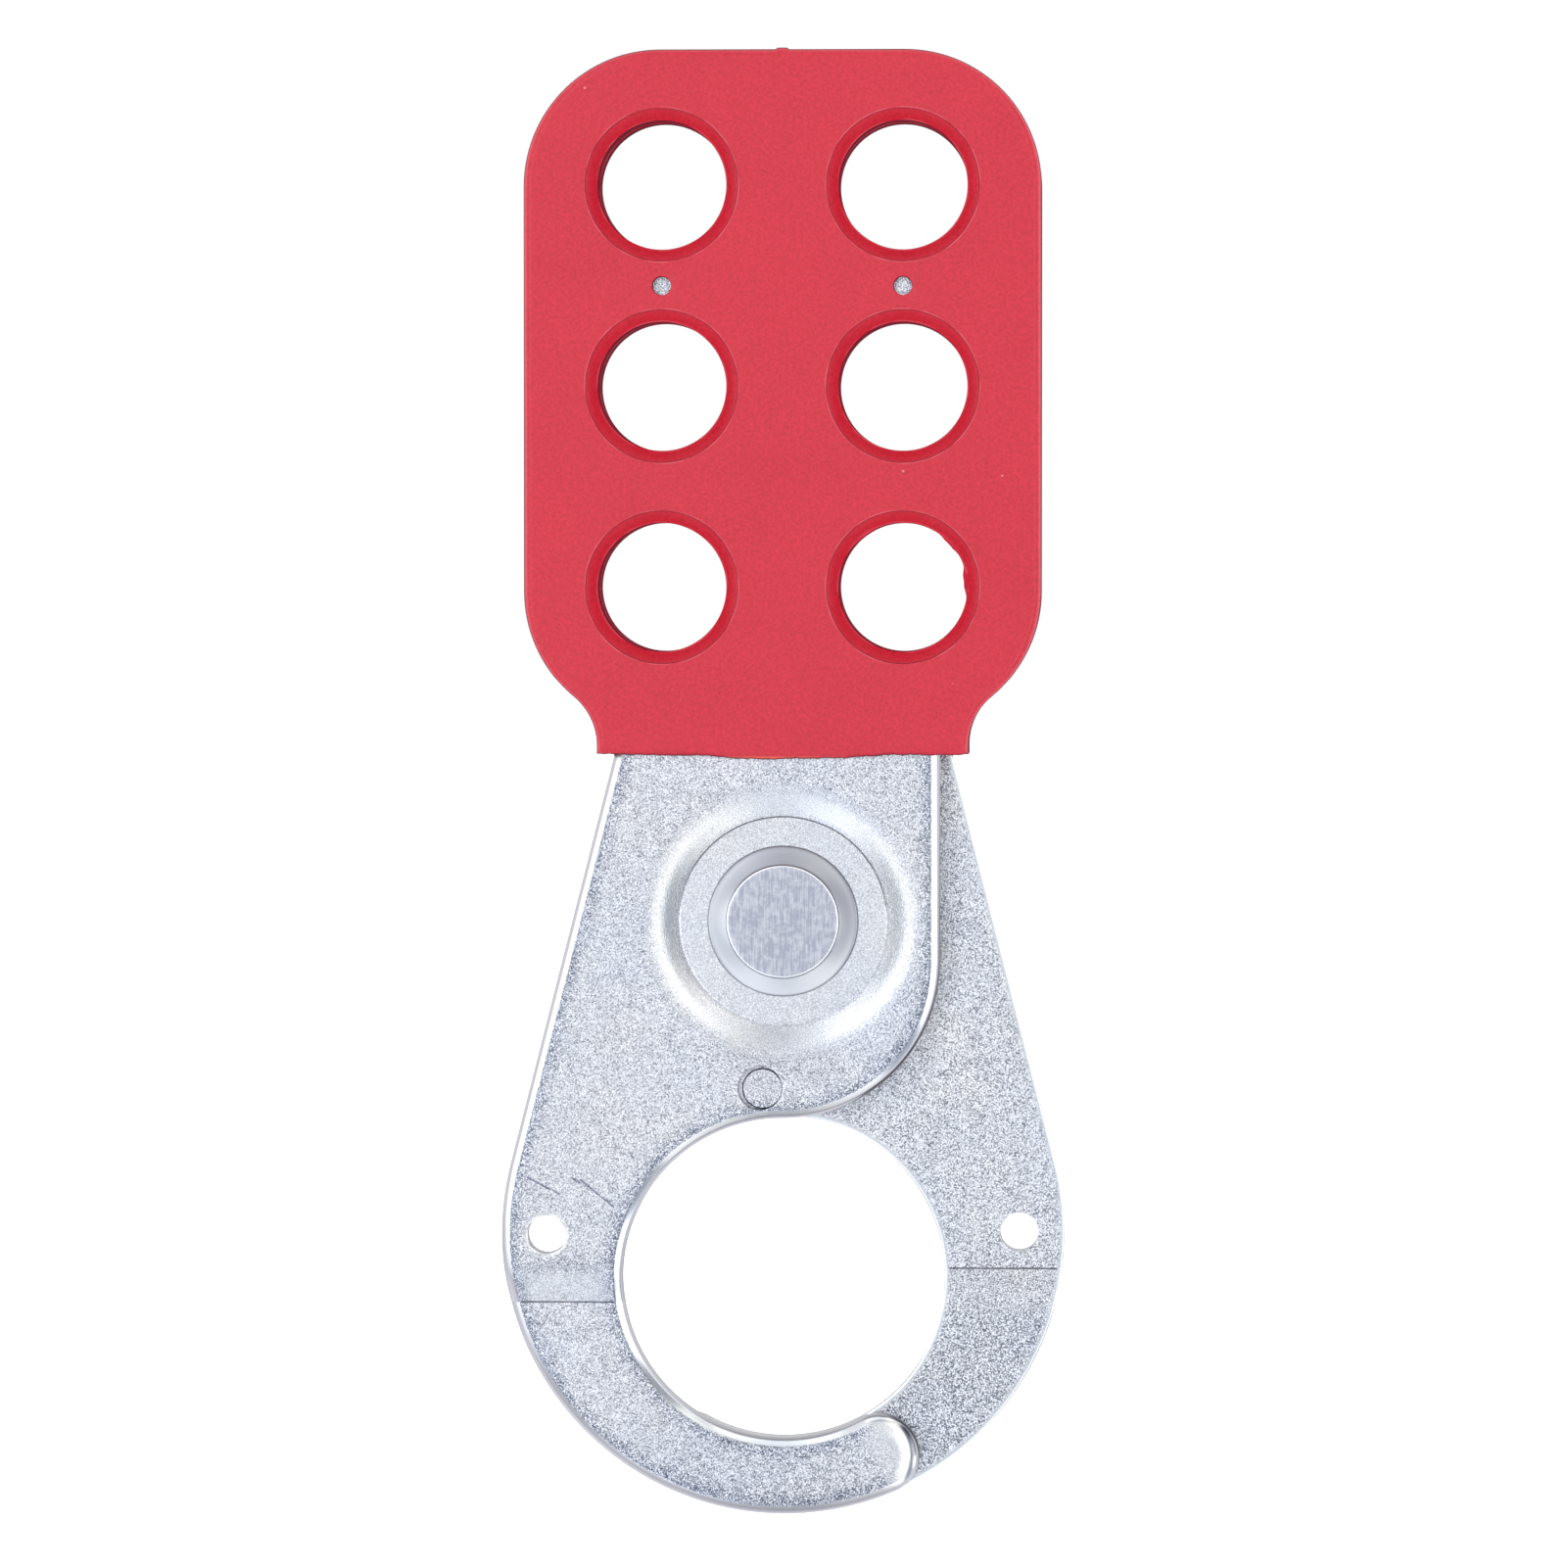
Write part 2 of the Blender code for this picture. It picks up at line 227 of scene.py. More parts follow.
def handle_outline(corner_radius, right_edge, left_edge, inset, top_points=()):
    """The handle's outline, anticlockwise from the right neck edge over the top to the left one."""
    across = HANDLE_HALF_WIDTH - CORNER_RADIUS
    high = HANDLE_TOP - CORNER_RADIUS
    right_foot, right_up = right_edge
    left_foot, left_up = left_edge
    right_out = Vector((right_up.y, -right_up.x))
    left_out = Vector((-left_up.y, left_up.x))
    right_corner = Vector((across, LOWER_CORNER_HEIGHT))
    left_corner = Vector((-across, LOWER_CORNER_HEIGHT))
    right = neck_fillet(right_foot, right_up, right_out, right_corner, corner_radius)
    left = neck_fillet(left_foot, left_up, left_out, left_corner, corner_radius)
    right_join = heading(right - right_corner)
    left_join = heading(left - left_corner) + TURN
    start = heading(-right_out) % TURN
    points = arc(right, NECK_FILLET, start, right_join + math.pi, -inset)
    points += arc(right_corner, corner_radius, right_join, 0, inset)[1:]
    points += arc((across, high), corner_radius, 0, math.pi / 2, inset)
    points += [(x, high + corner_radius - inset) for x in top_points]
    points += arc((-across, high), corner_radius, math.pi / 2, math.pi, inset)
    points += arc(left_corner, corner_radius, math.pi, left_join, inset)
    points += arc(left, NECK_FILLET, left_join - math.pi, heading(-left_out), -inset)[1:]
    return points


def padlock_centres():
    rows = [PADLOCK_LOWEST + PADLOCK_PITCH * i for i in range(PADLOCK_ROWS)]
    return [(x, z) for z in rows for x in (-PADLOCK_HALF_SPREAD, PADLOCK_HALF_SPREAD)]


def arm_edge(grow=0.0):
    """The plate's leaning left edge, moved outward by grow."""
    upward = Vector((math.sin(ARM_ANGLE), math.cos(ARM_ANGLE)))
    outward = Vector((-upward.y, upward.x))
    return RING_CENTRE + outward * (RING_RADIUS + grow), upward


def neck_edge(grow=0.0):
    """The plate's upright right edge, moved outward by grow."""
    return Vector((INNER_EDGE + grow, 0)), Vector((0, 1))


def plate_outline(inset):
    """One jaw plate, anticlockwise from the foot of its leaning edge."""
    tip = tip_centre()
    tip_heading = heading(tip - RING_CENTRE)
    jaw_heading = heading(tip - JAW_CENTRE)
    above_jaw = (0, JAW_RADIUS + INNER_EDGE - JAW_DROP)
    points = arc(RING_CENTRE, RING_RADIUS, math.pi - ARM_ANGLE, tip_heading + TURN, inset)
    points += arc(tip, TIP_RADIUS, tip_heading, jaw_heading + math.pi, inset, TIP_POINTS)[1:]
    points += arc(JAW_CENTRE, JAW_RADIUS, jaw_heading + TURN, math.pi / 2, -inset)[1:]
    points += arc(above_jaw, INNER_EDGE, -math.pi / 2, 0, inset)[1:]
    corner_radius = CORNER_RADIUS - COAT_AT_EDGE
    return points + handle_outline(corner_radius, neck_edge(), arm_edge(), inset)


def cover_outline(inset):
    """The cover, anticlockwise from the left end of its foot."""
    right_edge = Vector((NECK_HALF_WIDTH, COVER_BOTTOM)), Vector((0, 1))
    left_edge = Vector((-NECK_HALF_WIDTH, COVER_BOTTOM)), Vector((0, 1))
    half = NECK_HALF_WIDTH - inset
    feet = [(half * (2 * i / COVER_FOOT_POINTS - 1), COVER_BOTTOM + inset)
            for i in range(COVER_FOOT_POINTS + 1)]
    return feet + handle_outline(CORNER_RADIUS, right_edge, left_edge, inset, GATE_STUB_POINTS)


def pocket_outline(inset):
    """The blade's outline, run out below the cover."""
    below = COVER_BOTTOM - NECK_FILLET
    right_foot, right_up = neck_edge(BOND)
    left_foot, left_up = arm_edge(BOND)
    left_out = Vector((-left_up.y, left_up.x))
    low_left = left_foot + left_up * ((below - left_foot.y) / left_up.y) - left_out * inset
    feet = [tuple(low_left), (right_foot.x - inset, below)]
    corner_radius = CORNER_RADIUS - COAT_AT_EDGE + BOND
    return feet + handle_outline(corner_radius, (right_foot, right_up), (left_foot, left_up), inset)


# Sheets

def inside(points, loop):
    """Even-odd test of each point against a closed loop."""
    x, z = points[:, :1], points[:, 1:]
    start = np.array(loop)
    end = np.roll(start, -1, axis=0)
    spans = (start[:, 1] > z) != (end[:, 1] > z)
    rise = np.where(end[:, 1] == start[:, 1], 1.0, end[:, 1] - start[:, 1])
    crossing = start[:, 0] + (z - start[:, 1]) * (end[:, 0] - start[:, 0]) / rise
    return (spans & (x < crossing)).sum(axis=1) % 2 == 1


def edge_distance(points, loop):
    """Distance of each point from a closed loop, worked out for a block of points at a time."""
    start = np.array(loop)
    along = np.roll(start, -1, axis=0) - start
    length = np.maximum((along ** 2).sum(axis=1), 1e-12)
    blocks = []
    for block in np.array_split(points, max(1, len(points) // BLOCK_POINTS)):
        offset = block[:, None, :] - start
        place = np.clip((offset * along).sum(axis=2) / length, 0, 1)
        gap = offset - place[:, :, None] * along
        blocks.append(np.sqrt((gap ** 2).sum(axis=2).min(axis=1)))
    return np.concatenate(blocks)


def triangulate(loops, holes, lines=()):
    """Corners and triangles that fill loops[0] around the holes.

    Mesh edges follow every loop and every line.
    """
    points = []
    edges = []
    for loop in (*loops, *holes):
        first = len(points)
        points += loop
        edges += [(first + i, first + (i + 1) % len(loop)) for i in range(len(loop))]
    for line in lines:
        edges.append((len(points), len(points) + 1))
        points += line
    corners, _, faces, *_ = delaunay_2d_cdt([Vector(p) for p in points], edges, [], 0, WELD)
    corners = np.array([tuple(v) for v in corners])
    faces = np.array(faces)
    middles = corners[faces].mean(axis=1)
    keep = inside(middles, loops[0])
    for hole in holes:
        keep &= ~inside(middles, hole)
    faces = faces[keep]
    used, faces = np.unique(faces, return_inverse=True)
    faces = faces.reshape(-1, 3)
    corners = corners[used]
    a, b, c = (corners[faces[:, i]] for i in range(3))
    turn = (b - a)[:, 0] * (c - a)[:, 1] - (b - a)[:, 1] * (c - a)[:, 0]
    faces[turn < 0] = faces[turn < 0][:, ::-1]
    return corners, faces


def rim_walls(faces, offset):
    """Quads that join the edges of a sheet to its copy, whose corners come offset later."""
    directed = {(f[i], f[(i + 1) % 3]) for f in faces.tolist() for i in range(3)}
    open_edges = sorted(e for e in directed if (e[1], e[0]) not in directed)
    return [(b, a, a + offset, b + offset) for a, b in open_edges]


def smooth(mesh):
    mesh.shade_smooth()
    mesh.set_sharp_from_angle(angle=SHARP_ANGLE)


def solid(name, sheet, inner, outer, paint=None):
    """A closed mesh on a sheet, between two depths in front of the mid-plane, in the part's frame.

    paint gives values for each corner's outer and inner points, by attribute name.
    """
    corners, faces = sheet
    count = len(corners)
    coords = np.zeros((2 * count, 3))
    coords[:count, 0] = coords[count:, 0] = corners[:, 0]
    coords[:count, 2] = coords[count:, 2] = corners[:, 1]
    coords[:count, 1] = -outer
    coords[count:, 1] = -inner
    coords = coords * MM + np.array(PIVOT)
    polygons = faces.tolist() + (faces[:, ::-1] + count).tolist() + rim_walls(faces, count)
    mesh = bpy.data.meshes.new(name)
    mesh.from_pydata(coords.tolist(), [], polygons)
    for attribute, values in (paint or {}).items():
        layer = mesh.attributes.new(attribute, "FLOAT", "POINT")
        layer.data.foreach_set("value", np.concatenate(values).astype(np.float32))
    mesh.validate()
    smooth(mesh)
    return mesh


# Depth profiles

def rolled(distance, width, height):
    """Drop of a quarter-elliptic edge, height at the edge and nothing past width."""
    reach = np.clip(1 - distance / width, 0, 1)
    return height * (1 - np.sqrt(1 - reach ** 2))


def roll_insets(width, steps):
    """Insets across a rolled edge, closest together where it is steepest."""
    return [width * (1 - math.cos(math.pi / 2 * i / steps)) for i in range(steps + 1)]


def bend(value, crisp, soft, run):
    """0 at the crisp end to 1 at the soft end: a straight slope, then an easing over the run."""
    span = abs(soft - crisp)
    slope = 1 / (span - run / 2)
    travelled = (value - crisp) * (1 if soft > crisp else -1)
    straight = slope * travelled
    eased = 1 - slope / (2 * run) * (span - travelled) ** 2
    return np.where(travelled <= 0, 0, np.where(travelled < span - run, straight,
                    np.where(travelled < span, eased, 1)))


def ramp(value, low, high):
    """0 up to low, 1 from high on."""
    return np.clip((value - low) / (high - low), 0, 1)


def fall(value, full, end):
    """1 up to full, 0 from end on."""
    return 1 - ramp(value, full, end)


def band(value, start, full, fade, end):
    """0 outside start and end, 1 between full and fade."""
    return ramp(value, start, full) * fall(value, fade, end)


def crease(distance):
    """1 on a fine line, 0 past its width."""
    return fall(np.abs(distance), 0.0, CREASE_WIDTH)


def die_roll(edge):
    """Drop of the plates' outer face near their edge."""
    slope = ROLL_HEIGHT * (1 - bend(edge, 0, ROLL_WIDTH, ROLL_RUN))
    return slope + rolled(edge, ROUND_WIDTH, ROUND_HEIGHT)


# Jaw plates

# Mesh lines: insets from the plate's edge, growth of the tether hole, radii around the pivot and
# around the stop, and insets from the slug's edge
EDGE_INSETS = [0.45, 0.6] + [0.65 + 0.05 * i for i in range(9)] + [1.2, 1.45, 1.75, 2.0]
TETHER_RINGS = (0.02, 0.07, 0.14, 0.22, 0.34)
DISH_RINGS = [
    7.0, 7.4, 7.7, 8.0, 8.13, 8.2, 8.27, 8.4, 8.7, 9.0, 9.2, 9.4, 9.6, 9.8, 10.0, 10.2, 10.4,
    10.6, 10.8, 11.0, 11.25, 11.5,
]
STOP_RINGS = [1.45, 1.6, 1.7, 1.74, 1.77, 1.8, 1.86, 1.94, 2.03, 2.15]
SLUG_INSETS = (0.0, SLUG_EASE / 2, SLUG_EASE)
STEP_LINE_SPACING = 0.2
HOLE_POINTS = 64
DISH_POINTS = 160
SLUG_POINTS = 48


def step_lines():
    """Level mesh lines across the step, with three along each crease."""
    bottom = STEP_BOTTOM - STEP_SOFT
    top = STEP_TOP + STEP_SOFT + 0.01
    even = set(np.round(np.arange(bottom, top, STEP_LINE_SPACING), 2))
    creases = {z + side * CREASE_WIDTH for z in (STEP_TOP, STEP_BOTTOM) for side in (-1, 0, 1)}
    return [[(-RING_RADIUS - STEEL, z), (0, z)] for z in sorted(even | creases)]


def plate_sheet():
    loops = [plate_outline(inset) for inset in roll_insets(ROUND_WIDTH, 6) + EDGE_INSETS]
    tether = (-TETHER_HOLE_OFFSET, -RING_DROP)
    slug = (STOP_X + SLUG_SHIFT[0], STOP_Z + SLUG_SHIFT[1])
    steel_hole = PADLOCK_HOLE_RADIUS + COAT_AT_EDGE
    holes = [circle(centre, steel_hole, HOLE_POINTS) for centre in padlock_centres()]
    holes.append(circle((0, 0), PIVOT_HOLE_RADIUS, HOLE_POINTS))
    holes.append(circle(tether, TETHER_HOLE_RADIUS, HOLE_POINTS))
    loops += [circle(tether, TETHER_HOLE_RADIUS + grow, HOLE_POINTS) for grow in TETHER_RINGS]
    loops += [circle((0, 0), radius, DISH_POINTS) for radius in DISH_RINGS]
    loops += [circle((STOP_X, STOP_Z), radius, HOLE_POINTS) for radius in STOP_RINGS]
    loops += [circle(slug, SLUG_RADIUS - inset, SLUG_POINTS) for inset in SLUG_INSETS]
    return triangulate(loops, holes, step_lines())


def plate_places(corners):
    """Where each corner lies: its distances from the plate's edge and features, by name."""
    x, z = corners.T
    tip = tip_centre()
    end_heading = heading(tip - RING_CENTRE) + math.pi / 2
    past_tip = (x - tip.x) * math.cos(end_heading) + (z - tip.y) * math.sin(end_heading)
    from_tip = np.hypot(x - tip.x, z - tip.y)
    return SimpleNamespace(
        x=x,
        z=z,
        left_side=x < 0,
        radius=np.hypot(x, z),
        edge=edge_distance(corners, plate_outline(0)),
        tether=np.hypot(x + TETHER_HOLE_OFFSET, z + RING_DROP) - TETHER_HOLE_RADIUS,
        stop=np.hypot(x - STOP_X, z - STOP_Z),
        slug=np.hypot(x - STOP_X - SLUG_SHIFT[0], z - STOP_Z - SLUG_SHIFT[1]),
        tip_angle=np.arctan2(z - tip.y, x - tip.x),
        end=ramp(past_tip, *END_PAST_TIP) * fall(from_tip, *END_REACH),
    )


def plate_outer(at):
    """Depth of the outer face: dish, step, rolled edges, creases and the stop's recess."""
    dish = bend(at.radius, DISH_FLOOR_RADIUS, DISH_RIM_RADIUS, DISH_RIM_RADIUS - DISH_BEND_RADIUS)
    step = bend(at.z, STEP_BOTTOM, STEP_TOP + STEP_SOFT, STEP_RUN)
    end_roll = rolled(at.edge, END_ROLL_WIDTH, END_ROLL_HEIGHT)
    end_roll += END_SLOPE_HEIGHT * fall(at.edge, 0, END_SLOPE_WIDTH)
    outer = HALF_GAP + STEEL + COAT * np.minimum(dish, step)
    outer -= die_roll(at.edge) * (1 - at.end) + end_roll * at.end
    share = DISH_CREASE_LEAST + (1 - DISH_CREASE_LEAST) * ramp(at.z, *DISH_CREASE_HEIGHTS)
    outer -= CREASE_DEPTH * share * crease(at.radius - DISH_FLOOR_RADIUS)
    in_from_edge = at.edge > STEP_CREASE_INSET[0]
    outer -= STEP_OUTER_CREASE * CREASE_DEPTH * crease(at.z - STEP_BOTTOM) * in_from_edge
    outer -= rolled(at.tether, *TETHER_ROUND)
    up = at.z - STOP_Z
    recess = RECESS_DEPTH - RECESS_SLOPE * up
    recess += SLUG_GAP_DEPTH * ramp(at.slug, SLUG_RADIUS - SLUG_EASE, SLUG_RADIUS)
    outer -= recess * fall(at.stop, RECESS_RADIUS - RECESS_WALL, RECESS_RADIUS)
    off_recess = at.stop > RECESS_RADIUS - RECESS_WALL / 2
    drawn = rolled(at.stop - RECESS_RADIUS, *RECESS_EDGE) * off_recess
    outer -= drawn * (1 - RECESS_EDGE_FADE * ramp(up, *RECESS_EDGE_HEIGHTS))
    return outer


def plate_inner(at):
    """Depth of the inner face: dish, step, burred edges, a crease and the stop itself."""
    dish = 1 - bend(at.radius, DISH_INNER_RIM, DISH_INNER_FLOOR, DISH_INNER_RUN)
    step = 1 - bend(at.z, STEP_TOP, STEP_BOTTOM - STEP_SOFT, STEP_RUN)
    inner = HALF_GAP + COAT * np.minimum(dish, step)
    inner += rolled(at.edge, BURR_WIDTH, BURR_HEIGHT)
    in_from_edge = at.edge > STEP_CREASE_INSET[1]
    inner += STEP_INNER_CREASE * CREASE_DEPTH * crease(at.z - STEP_TOP) * in_from_edge
    inner += rolled(at.tether, *TETHER_BURR)
    inner -= STOP_HEIGHT * fall(at.stop, STOP_RADIUS - STOP_WALL, STOP_RADIUS)
    on_stop = at.stop < STOP_RADIUS - STOP_WALL / 3
    inner += rolled(STOP_RADIUS - at.stop, *STOP_ROUND) * on_stop
    return inner


# Painted marks: the bands in which they start, are full, fade and end, and their strengths
GRAIN_START = (0.62, 0.78)
INNER_GRAIN_START = (0.25, 0.5)
WALL_BAND = (8.15, 8.6, 9.8, 10.8)  # around the dish floor
FLOOR_EDGE = (8.1, 8.3)
TETHER_EDGE = (0.1, 0.34)
END_SMOOTH = (1.75, 3.0)
STEP_BAND = (STEP_BOTTOM - 0.1, STEP_BOTTOM + 0.1, STEP_TOP - 0.8, STEP_TOP + 0.2)
# Painted shade: a darker band in from the plate's edge (SHOULDER_BAND) and above the step (BENT_BAND)
SHOULDER_BAND = (0.60, 0.70, 0.9, 1.9)  # in from the plate's edge
BENT_BAND = tuple(STEP_TOP + rise for rise in (-0.4, 0.1, 0.8, 1.8))
BENT_SHARE = 0.45
TIP_SHADE_BAND = (0.1, 0.2, 0.4, 0.55)  # in from the edge of the hook's round end
TIP_SHADE_ANGLES = (-0.15, 0.05, 0.85, 1.1)
UNDER_BAND = (8.15, 8.6, 10.8, 12.5)  # the shadow on the dish's lower slope
UNDER_DROP = (5.0, 8.0)
UNDER_SIDE = (3.0, 6.0)
UNDER_SHADE = 0.16
HOLLOW_BAND = (8.15, 8.4, 9.1, 9.7)  # the shadow at the foot of its left slope
HOLLOW_SIDE = (3.5, 7.0)
HOLLOW_SHADE = 0.22
GAP_SHADE = 0.25  # in the gap beside the slug


def plate_paint(at):
    """The outer and inner points' grain, a painted shade band beside the edges and above the step, and
    other painted shade.
    """
    grain = ramp(at.edge, *GRAIN_START)
    for share, where in (
        (0.6, band(at.radius, *WALL_BAND)),
        (0.75, at.end * fall(at.edge, *END_SMOOTH)),
        (0.5, fall(at.radius, *FLOOR_EDGE)),
        (0.8, fall(at.tether, *TETHER_EDGE)),
        # painted light: on the left of the step's slope the grain fades, which lightens it
        (0.25, band(at.z, *STEP_BAND) * at.left_side),
    ):
        grain *= 1 - share * where
    shoulder_shade = band(at.edge, *SHOULDER_BAND) * (1 - at.end)
    shoulder_shade = np.maximum(shoulder_shade, BENT_SHARE * band(at.z, *BENT_BAND) * at.left_side)
    gap = fall(at.stop, RECESS_RADIUS - 2 * RECESS_WALL, RECESS_RADIUS)
    gap *= ramp(at.slug, SLUG_RADIUS - 0.05, SLUG_RADIUS + 0.02)
    under = band(at.radius, *UNDER_BAND) * ramp(-at.z, *UNDER_DROP) * fall(np.abs(at.x), *UNDER_SIDE)
    hollow = band(at.radius, *HOLLOW_BAND) * ramp(-at.x, *HOLLOW_SIDE)
    tip_shade = at.end * band(at.edge, *TIP_SHADE_BAND) * band(at.tip_angle, *TIP_SHADE_ANGLES)
    shade = np.maximum(tip_shade, GAP_SHADE * gap) + UNDER_SHADE * under + HOLLOW_SHADE * hollow
    plain = np.zeros(len(grain))
    return {
        "grain": (grain, ramp(at.edge, *INNER_GRAIN_START)),
        "shoulder_shade": (shoulder_shade, plain),
        "shade": (shade, plain),
    }


def plate_mesh(name):
    """The jaw plate with its dish, step, stop and tether hole."""
    corners, faces = plate_sheet()
    at = plate_places(corners)
    return solid(name, (corners, faces), plate_inner(at), plate_outer(at), plate_paint(at))


# Handle covers

# A padlock hole's sunken rim: radius, drop, painted shade (deeper colour), and painted highlight
# (paler colour) on its two edges
PADLOCK_RIM = [
    (5.05, 0.66, 1, 0), (5.08, 0.61, 1, 0.9), (5.13, 0.575, 1, 0.6), (5.2, 0.55, 1, 0),
    (5.35, 0.485, 0.95, 0), (5.55, 0.37, 0.85, 0), (5.75, 0.25, 0.7, 0), (5.9, 0.16, 0.6, 0),
    (5.96, 0.11, 0.5, 0), (6.0, 0.0, 0.1, 0.5), (6.03, -0.012, 0, 1), (6.08, -0.012, 0, 0.7),
    (6.12, 0.0, 0, 0),
]
RIM_RADII, RIM_DROPS, RIM_SHADE, RIM_HIGHLIGHT = zip(*PADLOCK_RIM)
RIM_POINTS = 96
PIN_RADIUS = 0.74  # marks of the pins that held the steel in the mould
PIN_HEIGHT = 49.85
PIN_WALL = 0.03
PIN_EXTRA_DEPTH = 0.05
PIN_ROUND = (0.1, 0.06)
PIN_RINGS = (-PIN_WALL, 0, 0.04, 0.1)
PIN_POINTS = 32
BLADE_HOLE_POINTS = 48
GATE_STUB_RISE = 0.13
GATE_STUB_SIDES = (0.38, 0.52)
GATE_STUB_REACH = 0.7
FOOT_REACH = 1.5  # how far up the foot's waves run
FLASH_REACH = 0.5
# Flash bumps in one bore: rise, and the angles at which each starts, is full, fades and ends
FLASH_BUMPS = [
    (0.26, (-0.16, 0.0, 0.2, 0.34)), (0.12, (0.55, 0.65, 0.85, 0.95)), (0.08, (2.0, 2.1, 2.3, 2.5)),
]


def cover_sheet():
    centres = padlock_centres()
    loops = [cover_outline(inset) for inset in roll_insets(FILLET_WIDTH, 6) + [0.7]]
    holes = [circle(centre, RIM_RADII[0], RIM_POINTS) for centre in centres]
    loops += [circle(centre, radius, RIM_POINTS) for centre in centres for radius in RIM_RADII[1:]]
    for x in (-PADLOCK_HALF_SPREAD, PADLOCK_HALF_SPREAD):
        loops += [circle((x, PIN_HEIGHT), PIN_RADIUS + grow, PIN_POINTS) for grow in PIN_RINGS]
    return triangulate(loops, holes)


def foot_wave(x):
    """Height of the cover's uneven lower edge."""
    wave = 0.03 - 0.36 * np.exp(-(x / 6.5) ** 2)
    wave += 0.04 * np.sin(0.83 * x + 0.6) + 0.02 * np.sin(2.1 * x * (1 + 0.02 * x))
    return wave + 0.025 * np.sin(7.3 * x + 0.4) * np.sin(1.7 * x)


def cover_warp(corners, flash):
    """Moulding marks along the outline: the gate stub, the uneven foot and a flash in one bore."""
    x, z = corners.T.copy()
    stub = fall(np.abs(x), *GATE_STUB_SIDES) * ramp(z, HANDLE_TOP - GATE_STUB_REACH, HANDLE_TOP)
    z += GATE_STUB_RISE * stub
    z += foot_wave(x) * fall(z, COVER_BOTTOM, COVER_BOTTOM + FOOT_REACH)
    if flash:
        dx, dz = x - PADLOCK_HALF_SPREAD, z - PADLOCK_LOWEST
        away = np.hypot(dx, dz)
        angle = np.arctan2(dz, dx)
        bump = sum(rise * band(angle, *angles) for rise, angles in FLASH_BUMPS)
        pull = bump * fall(away, PADLOCK_HOLE_RADIUS, PADLOCK_HOLE_RADIUS + FLASH_REACH)
        x -= pull * dx / np.maximum(away, 0.01)
        z -= pull * dz / np.maximum(away, 0.01)
    return np.column_stack((x, z))


def from_padlock_hole(x, z):
    """Distance from the nearest padlock hole's centre."""
    return np.min([np.hypot(x - cx, z - cz) for cx, cz in padlock_centres()], axis=0)


def cover_mesh(name, flash):
    """The cover as a solid block, before its pocket is cut."""
    corners, faces = cover_sheet()
    x, z = corners.T
    edge = edge_distance(corners, cover_outline(0))
    rim = np.interp(from_padlock_hole(x, z), RIM_RADII, RIM_DROPS)
    pin = np.hypot(np.abs(x) - PADLOCK_HALF_SPREAD, z - PIN_HEIGHT)
    pin_drop = (COAT + PIN_EXTRA_DEPTH) * fall(pin, PIN_RADIUS - PIN_WALL, PIN_RADIUS)
    pin_drop += rolled(pin - PIN_RADIUS, *PIN_ROUND) * (pin > PIN_RADIUS - PIN_WALL / 3)
    outer = COVER_OUTER - rolled(edge, FILLET_WIDTH, FILLET_HEIGHT) - rim - pin_drop
    inner = HALF_GAP + rolled(edge, COVER_INNER_FILLET, COVER_INNER_FILLET) + rim
    return solid(name, (cover_warp(corners, flash), faces), inner, outer)


def pocket_mesh(name):
    """The space the steel blade fills, with the columns that line the padlock holes left standing."""
    insets = [ROLL_WIDTH - ROLL_RUN, ROLL_WIDTH - ROLL_RUN / 2, ROLL_WIDTH]
    loops = [pocket_outline(inset) for inset in roll_insets(ROUND_WIDTH, 2) + insets]
    radius = PADLOCK_HOLE_RADIUS + COAT_AT_EDGE - BOND
    holes = [circle(centre, radius, BLADE_HOLE_POINTS) for centre in padlock_centres()]
    corners, faces = triangulate(loops, holes)
    edge = edge_distance(corners, loops[0])
    outer = BLADE_OUTER + BOND - die_roll(edge)
    inner = np.full(len(corners), BLADE_INNER - BOND)
    return solid(name, (corners, faces), inner, outer)


def paint_rims(mesh):
    """Attributes for the painted shade on the padlock holes' sunken rims and the painted highlights on
    the two edges of each.
    """
    coords = np.empty(3 * len(mesh.vertices))
    mesh.vertices.foreach_get("co", coords)
    x, _, z = (coords.reshape(-1, 3) - np.array(PIVOT)).T / MM
    bore = from_padlock_hole(x, z)
    for attribute, values in (("rim_shade", RIM_SHADE), ("rim_highlight", RIM_HIGHLIGHT)):
        layer = mesh.attributes.new(attribute, "FLOAT", "POINT")
        layer.data.foreach_set("value", np.interp(bore, RIM_RADII, values).astype(np.float32))


def cut(mesh, cutter):
    """mesh less cutter, as a new mesh."""
    body = bpy.data.objects.new("cut_body", mesh)
    tool = bpy.data.objects.new("cut_tool", cutter)
    for part in (body, tool):
        bpy.context.scene.collection.objects.link(part)
    difference = body.modifiers.new("pocket", "BOOLEAN")
    difference.operation = "DIFFERENCE"
    difference.solver = "EXACT"
    difference.object = tool
    depsgraph = bpy.context.evaluated_depsgraph_get()
    result = bpy.data.meshes.new_from_object(body.evaluated_get(depsgraph))
    for part in (body, tool):
        bpy.data.objects.remove(part, do_unlink=True)
    smooth(result)
    return result


# Rivet

# The head's radius and height above its seat: a flat, a crisp shoulder and a sloping flank
HEAD_PROFILE = [
    (0.0, 1.2), (2.2, 1.2), (4.0, 1.2), (4.28, 1.2), (4.33, 1.192), (4.37, 1.172), (4.40, 1.14),
    (4.425, 1.09), (4.445, 1.02), (4.465, 0.95), (4.5, 0.90), (4.58, 0.85), (4.75, 0.756),
    (4.9, 0.673), (5.05, 0.598), (5.2, 0.523), (5.4, 0.434), (5.6, 0.357), (5.75, 0.305),
    (5.85, 0.24), (5.92, 0.14), (5.95, 0.0),
]
RIVET_TURNS = 160
SHANK_RADIUS = 4.0


